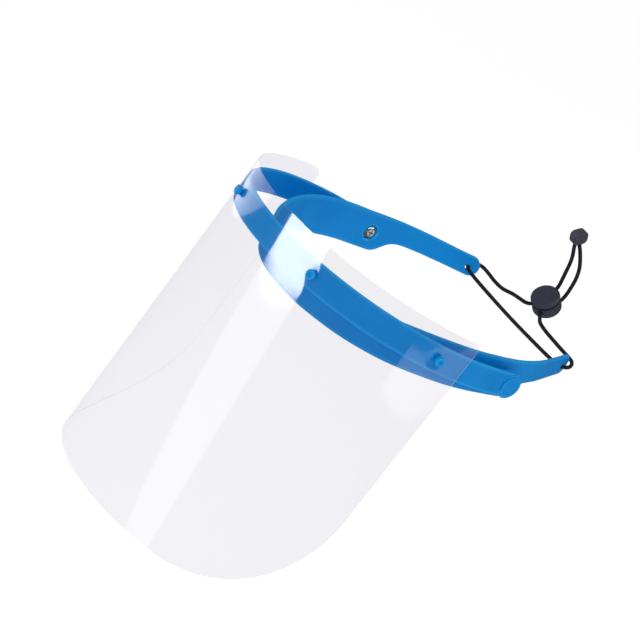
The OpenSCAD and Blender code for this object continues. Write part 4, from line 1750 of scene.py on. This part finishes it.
@dataclass
class CordEnd:
    """The two-part clip that closes over the cord's knotted ends.

    Attributes:
        place: The clip's middle.
        tilt: Its turn about X, in degrees.
        length: Its length from front to back.
        thickness: Its thickness over both halves.
        height: Its height.
        hole: The radius of the holes for the cord's ends.
        knot_pitch: The distance between those holes.
        parting: Half the gap between the halves.
        corner: The rounding of its outline.
        rim: The rounding of the outer faces' edges.
        groove: The radius of a grip groove.
        groove_depth: How deep a groove goes.
        groove_pitch: The distance from groove to groove.
    """

    place: tuple[float, float, float] = (0, 82.1 * MM, 59.7 * MM)
    tilt: float = 25
    length: float = 10 * MM
    thickness: float = 6.2 * MM
    height: float = 8.5 * MM
    hole: float = 1.5 * MM
    knot_pitch: float = 3.6 * MM
    parting: float = 0.025 * MM
    corner: float = 3.1 * MM
    rim: float = 1.1 * MM
    groove: float = 0.45 * MM
    groove_depth: float = 0.3 * MM
    groove_pitch: float = 1.8 * MM

    def build(self, material: bpy.types.Material) -> list[bpy.types.Object]:
        """Models the two halves and dresses them.

        Args:
            material: The clip's plastic.

        Returns:
            The two pieces.
        """
        frame = Matrix.Translation(self.place) @ Matrix.Rotation(math.radians(self.tilt), 4, "X")
        made = []
        for side, node in ((Side.RIGHT, "cord_end_base"), (Side.LEFT, "cord_end_lid")):
            shape = bmesh.new()
            bmesh.ops.create_cube(shape, size=1)
            deep = self.thickness / 2 - self.parting
            bmesh.ops.scale(shape, vec=(deep, self.length, self.height), verts=shape.verts)
            bmesh.ops.translate(shape, verts=shape.verts, vec=(deep / 2 + self.parting, 0, 0))
            upright = [e for e in shape.edges
                       if abs((e.verts[0].co - e.verts[1].co).normalized().x) > 0.9]
            bmesh.ops.bevel(shape, geom=upright, offset=self.corner, segments=10, profile=0.5,
                            affect="EDGES", material=-1)
            outer = [e for e in shape.edges
                     if all(v.co.x > deep for v in e.verts) and len(e.link_faces) == 2
                     and abs(e.calc_face_angle(0)) > 1]
            bmesh.ops.bevel(shape, geom=outer, offset=self.rim, segments=5, profile=0.5,
                            affect="EDGES", material=-1)
            bmesh.ops.scale(shape, vec=(side.value, 1, 1), verts=shape.verts)
            bmesh.ops.transform(shape, matrix=frame, verts=shape.verts)
            half = object_from("clip_half_" + side.name.lower(), shape)
            cuts = []
            for sign in (1, -1):
                at = frame @ Matrix.Translation((0, sign * self.knot_pitch / 2, 0))
                cuts.append(turned("hole", [(0, -self.height), (self.hole, -self.height),
                                            (self.hole, 0), (0, 0)], at, 32))
            out, run = self.thickness / 2 + self.groove - self.groove_depth, self.length
            for step in (-1, 0, 1):
                at = (frame @ Matrix.Translation((side.value * out, 0, step * self.groove_pitch))
                      @ Matrix.Rotation(math.pi / 2, 4, "X"))
                cuts.append(turned("groove", [(0, -run), (self.groove, -run), (self.groove, run),
                                              (0, run)], at, 24))
            combine(half, cuts, "DIFFERENCE")
            made.append(dress(half, material, Body.HEADBAND, node))
        return made


# ---------------------------------------------------------------- kept nodes


def dress_kept(frame: dict, slots: dict[Slot, bpy.types.Material]) -> None:
    """Gives each node that stays in view the finish of its slot.

    Args:
        frame: The loaded frame.
        slots: The finish of each slot.
    """
    for entry in frame["record"]["subparts"]:
        node = frame["nodes"][entry["node"]]
        if node.hide_render:
            continue
        node.data.materials.clear()
        node.data.materials.append(slots[Slot(entry["material_slot"])])
        LOG.info("kept %s in %s", entry["node"], entry["material_slot"])


def main() -> None:
    """Builds the scene."""
    logging.basicConfig(level=logging.INFO, format="%(name)s: %(message)s")
    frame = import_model()
    studio = Studio()
    studio.camera()
    shaders = Shaders()
    cord = ElasticCord()
    slots = {
        Slot.BAND: MouldedPlastic(
            "blue_plastic", deep=(0.001, 0.225, 0.63), light=(0.0015, 0.245, 0.67),
            gloss=(0.28, 0.38), specular=0.09, grain=0.25,
            edge_highlight=(0.03, 0.45, 0.90)).build(shaders),
        Slot.SHEET: ClearFilm().build(shaders),
        Slot.CHROME: Metal("chrome", colour=(0.86, 0.87, 0.88), gloss=(0.10, 0.18)).build(shaders),
        Slot.STEEL: Metal("steel", colour=(0.62, 0.62, 0.64), gloss=(0.22, 0.35)).build(shaders),
        Slot.RUBBER: MouldedPlastic(
            "rubber", deep=(0.012, 0.012, 0.013), light=(0.016, 0.016, 0.017),
            gloss=(0.7, 0.85), specular=0.2, grain=0.8, edge_highlight=(0.02, 0.02, 0.02)).build(shaders),
        Slot.BRASS: Metal("brass", colour=(0.78, 0.60, 0.28), gloss=(0.18, 0.3)).build(shaders),
        Slot.CORD: BraidedCord(yarn=(0.017, 0.018, 0.026), gap=(0.009, 0.010, 0.015),
                               length=cord.length).build(shaders),
        Slot.LOCK: MouldedPlastic(
            "lock_plastic", deep=(0.037, 0.036, 0.064), light=(0.043, 0.042, 0.072),
            gloss=(0.42, 0.55), specular=0.25, grain=0.5, edge_highlight=(0.07, 0.07, 0.10)).build(shaders),
    }
    loop = cord.build(slots[Slot.CORD])
    lock = CordLock().build(slots[Slot.LOCK])
    clip = CordEnd().build(slots[Slot.LOCK])
    Headband().build(slots[Slot.BAND])
    Visor().build(slots[Slot.BAND], slots[Slot.SHEET], CutEdge().build(shaders))
    dress_kept(frame, slots)
    cord.declare()
    studio.build()
    LOG.info("cord length %.4f m", cord.length)


if __name__ == "__main__":
    main()
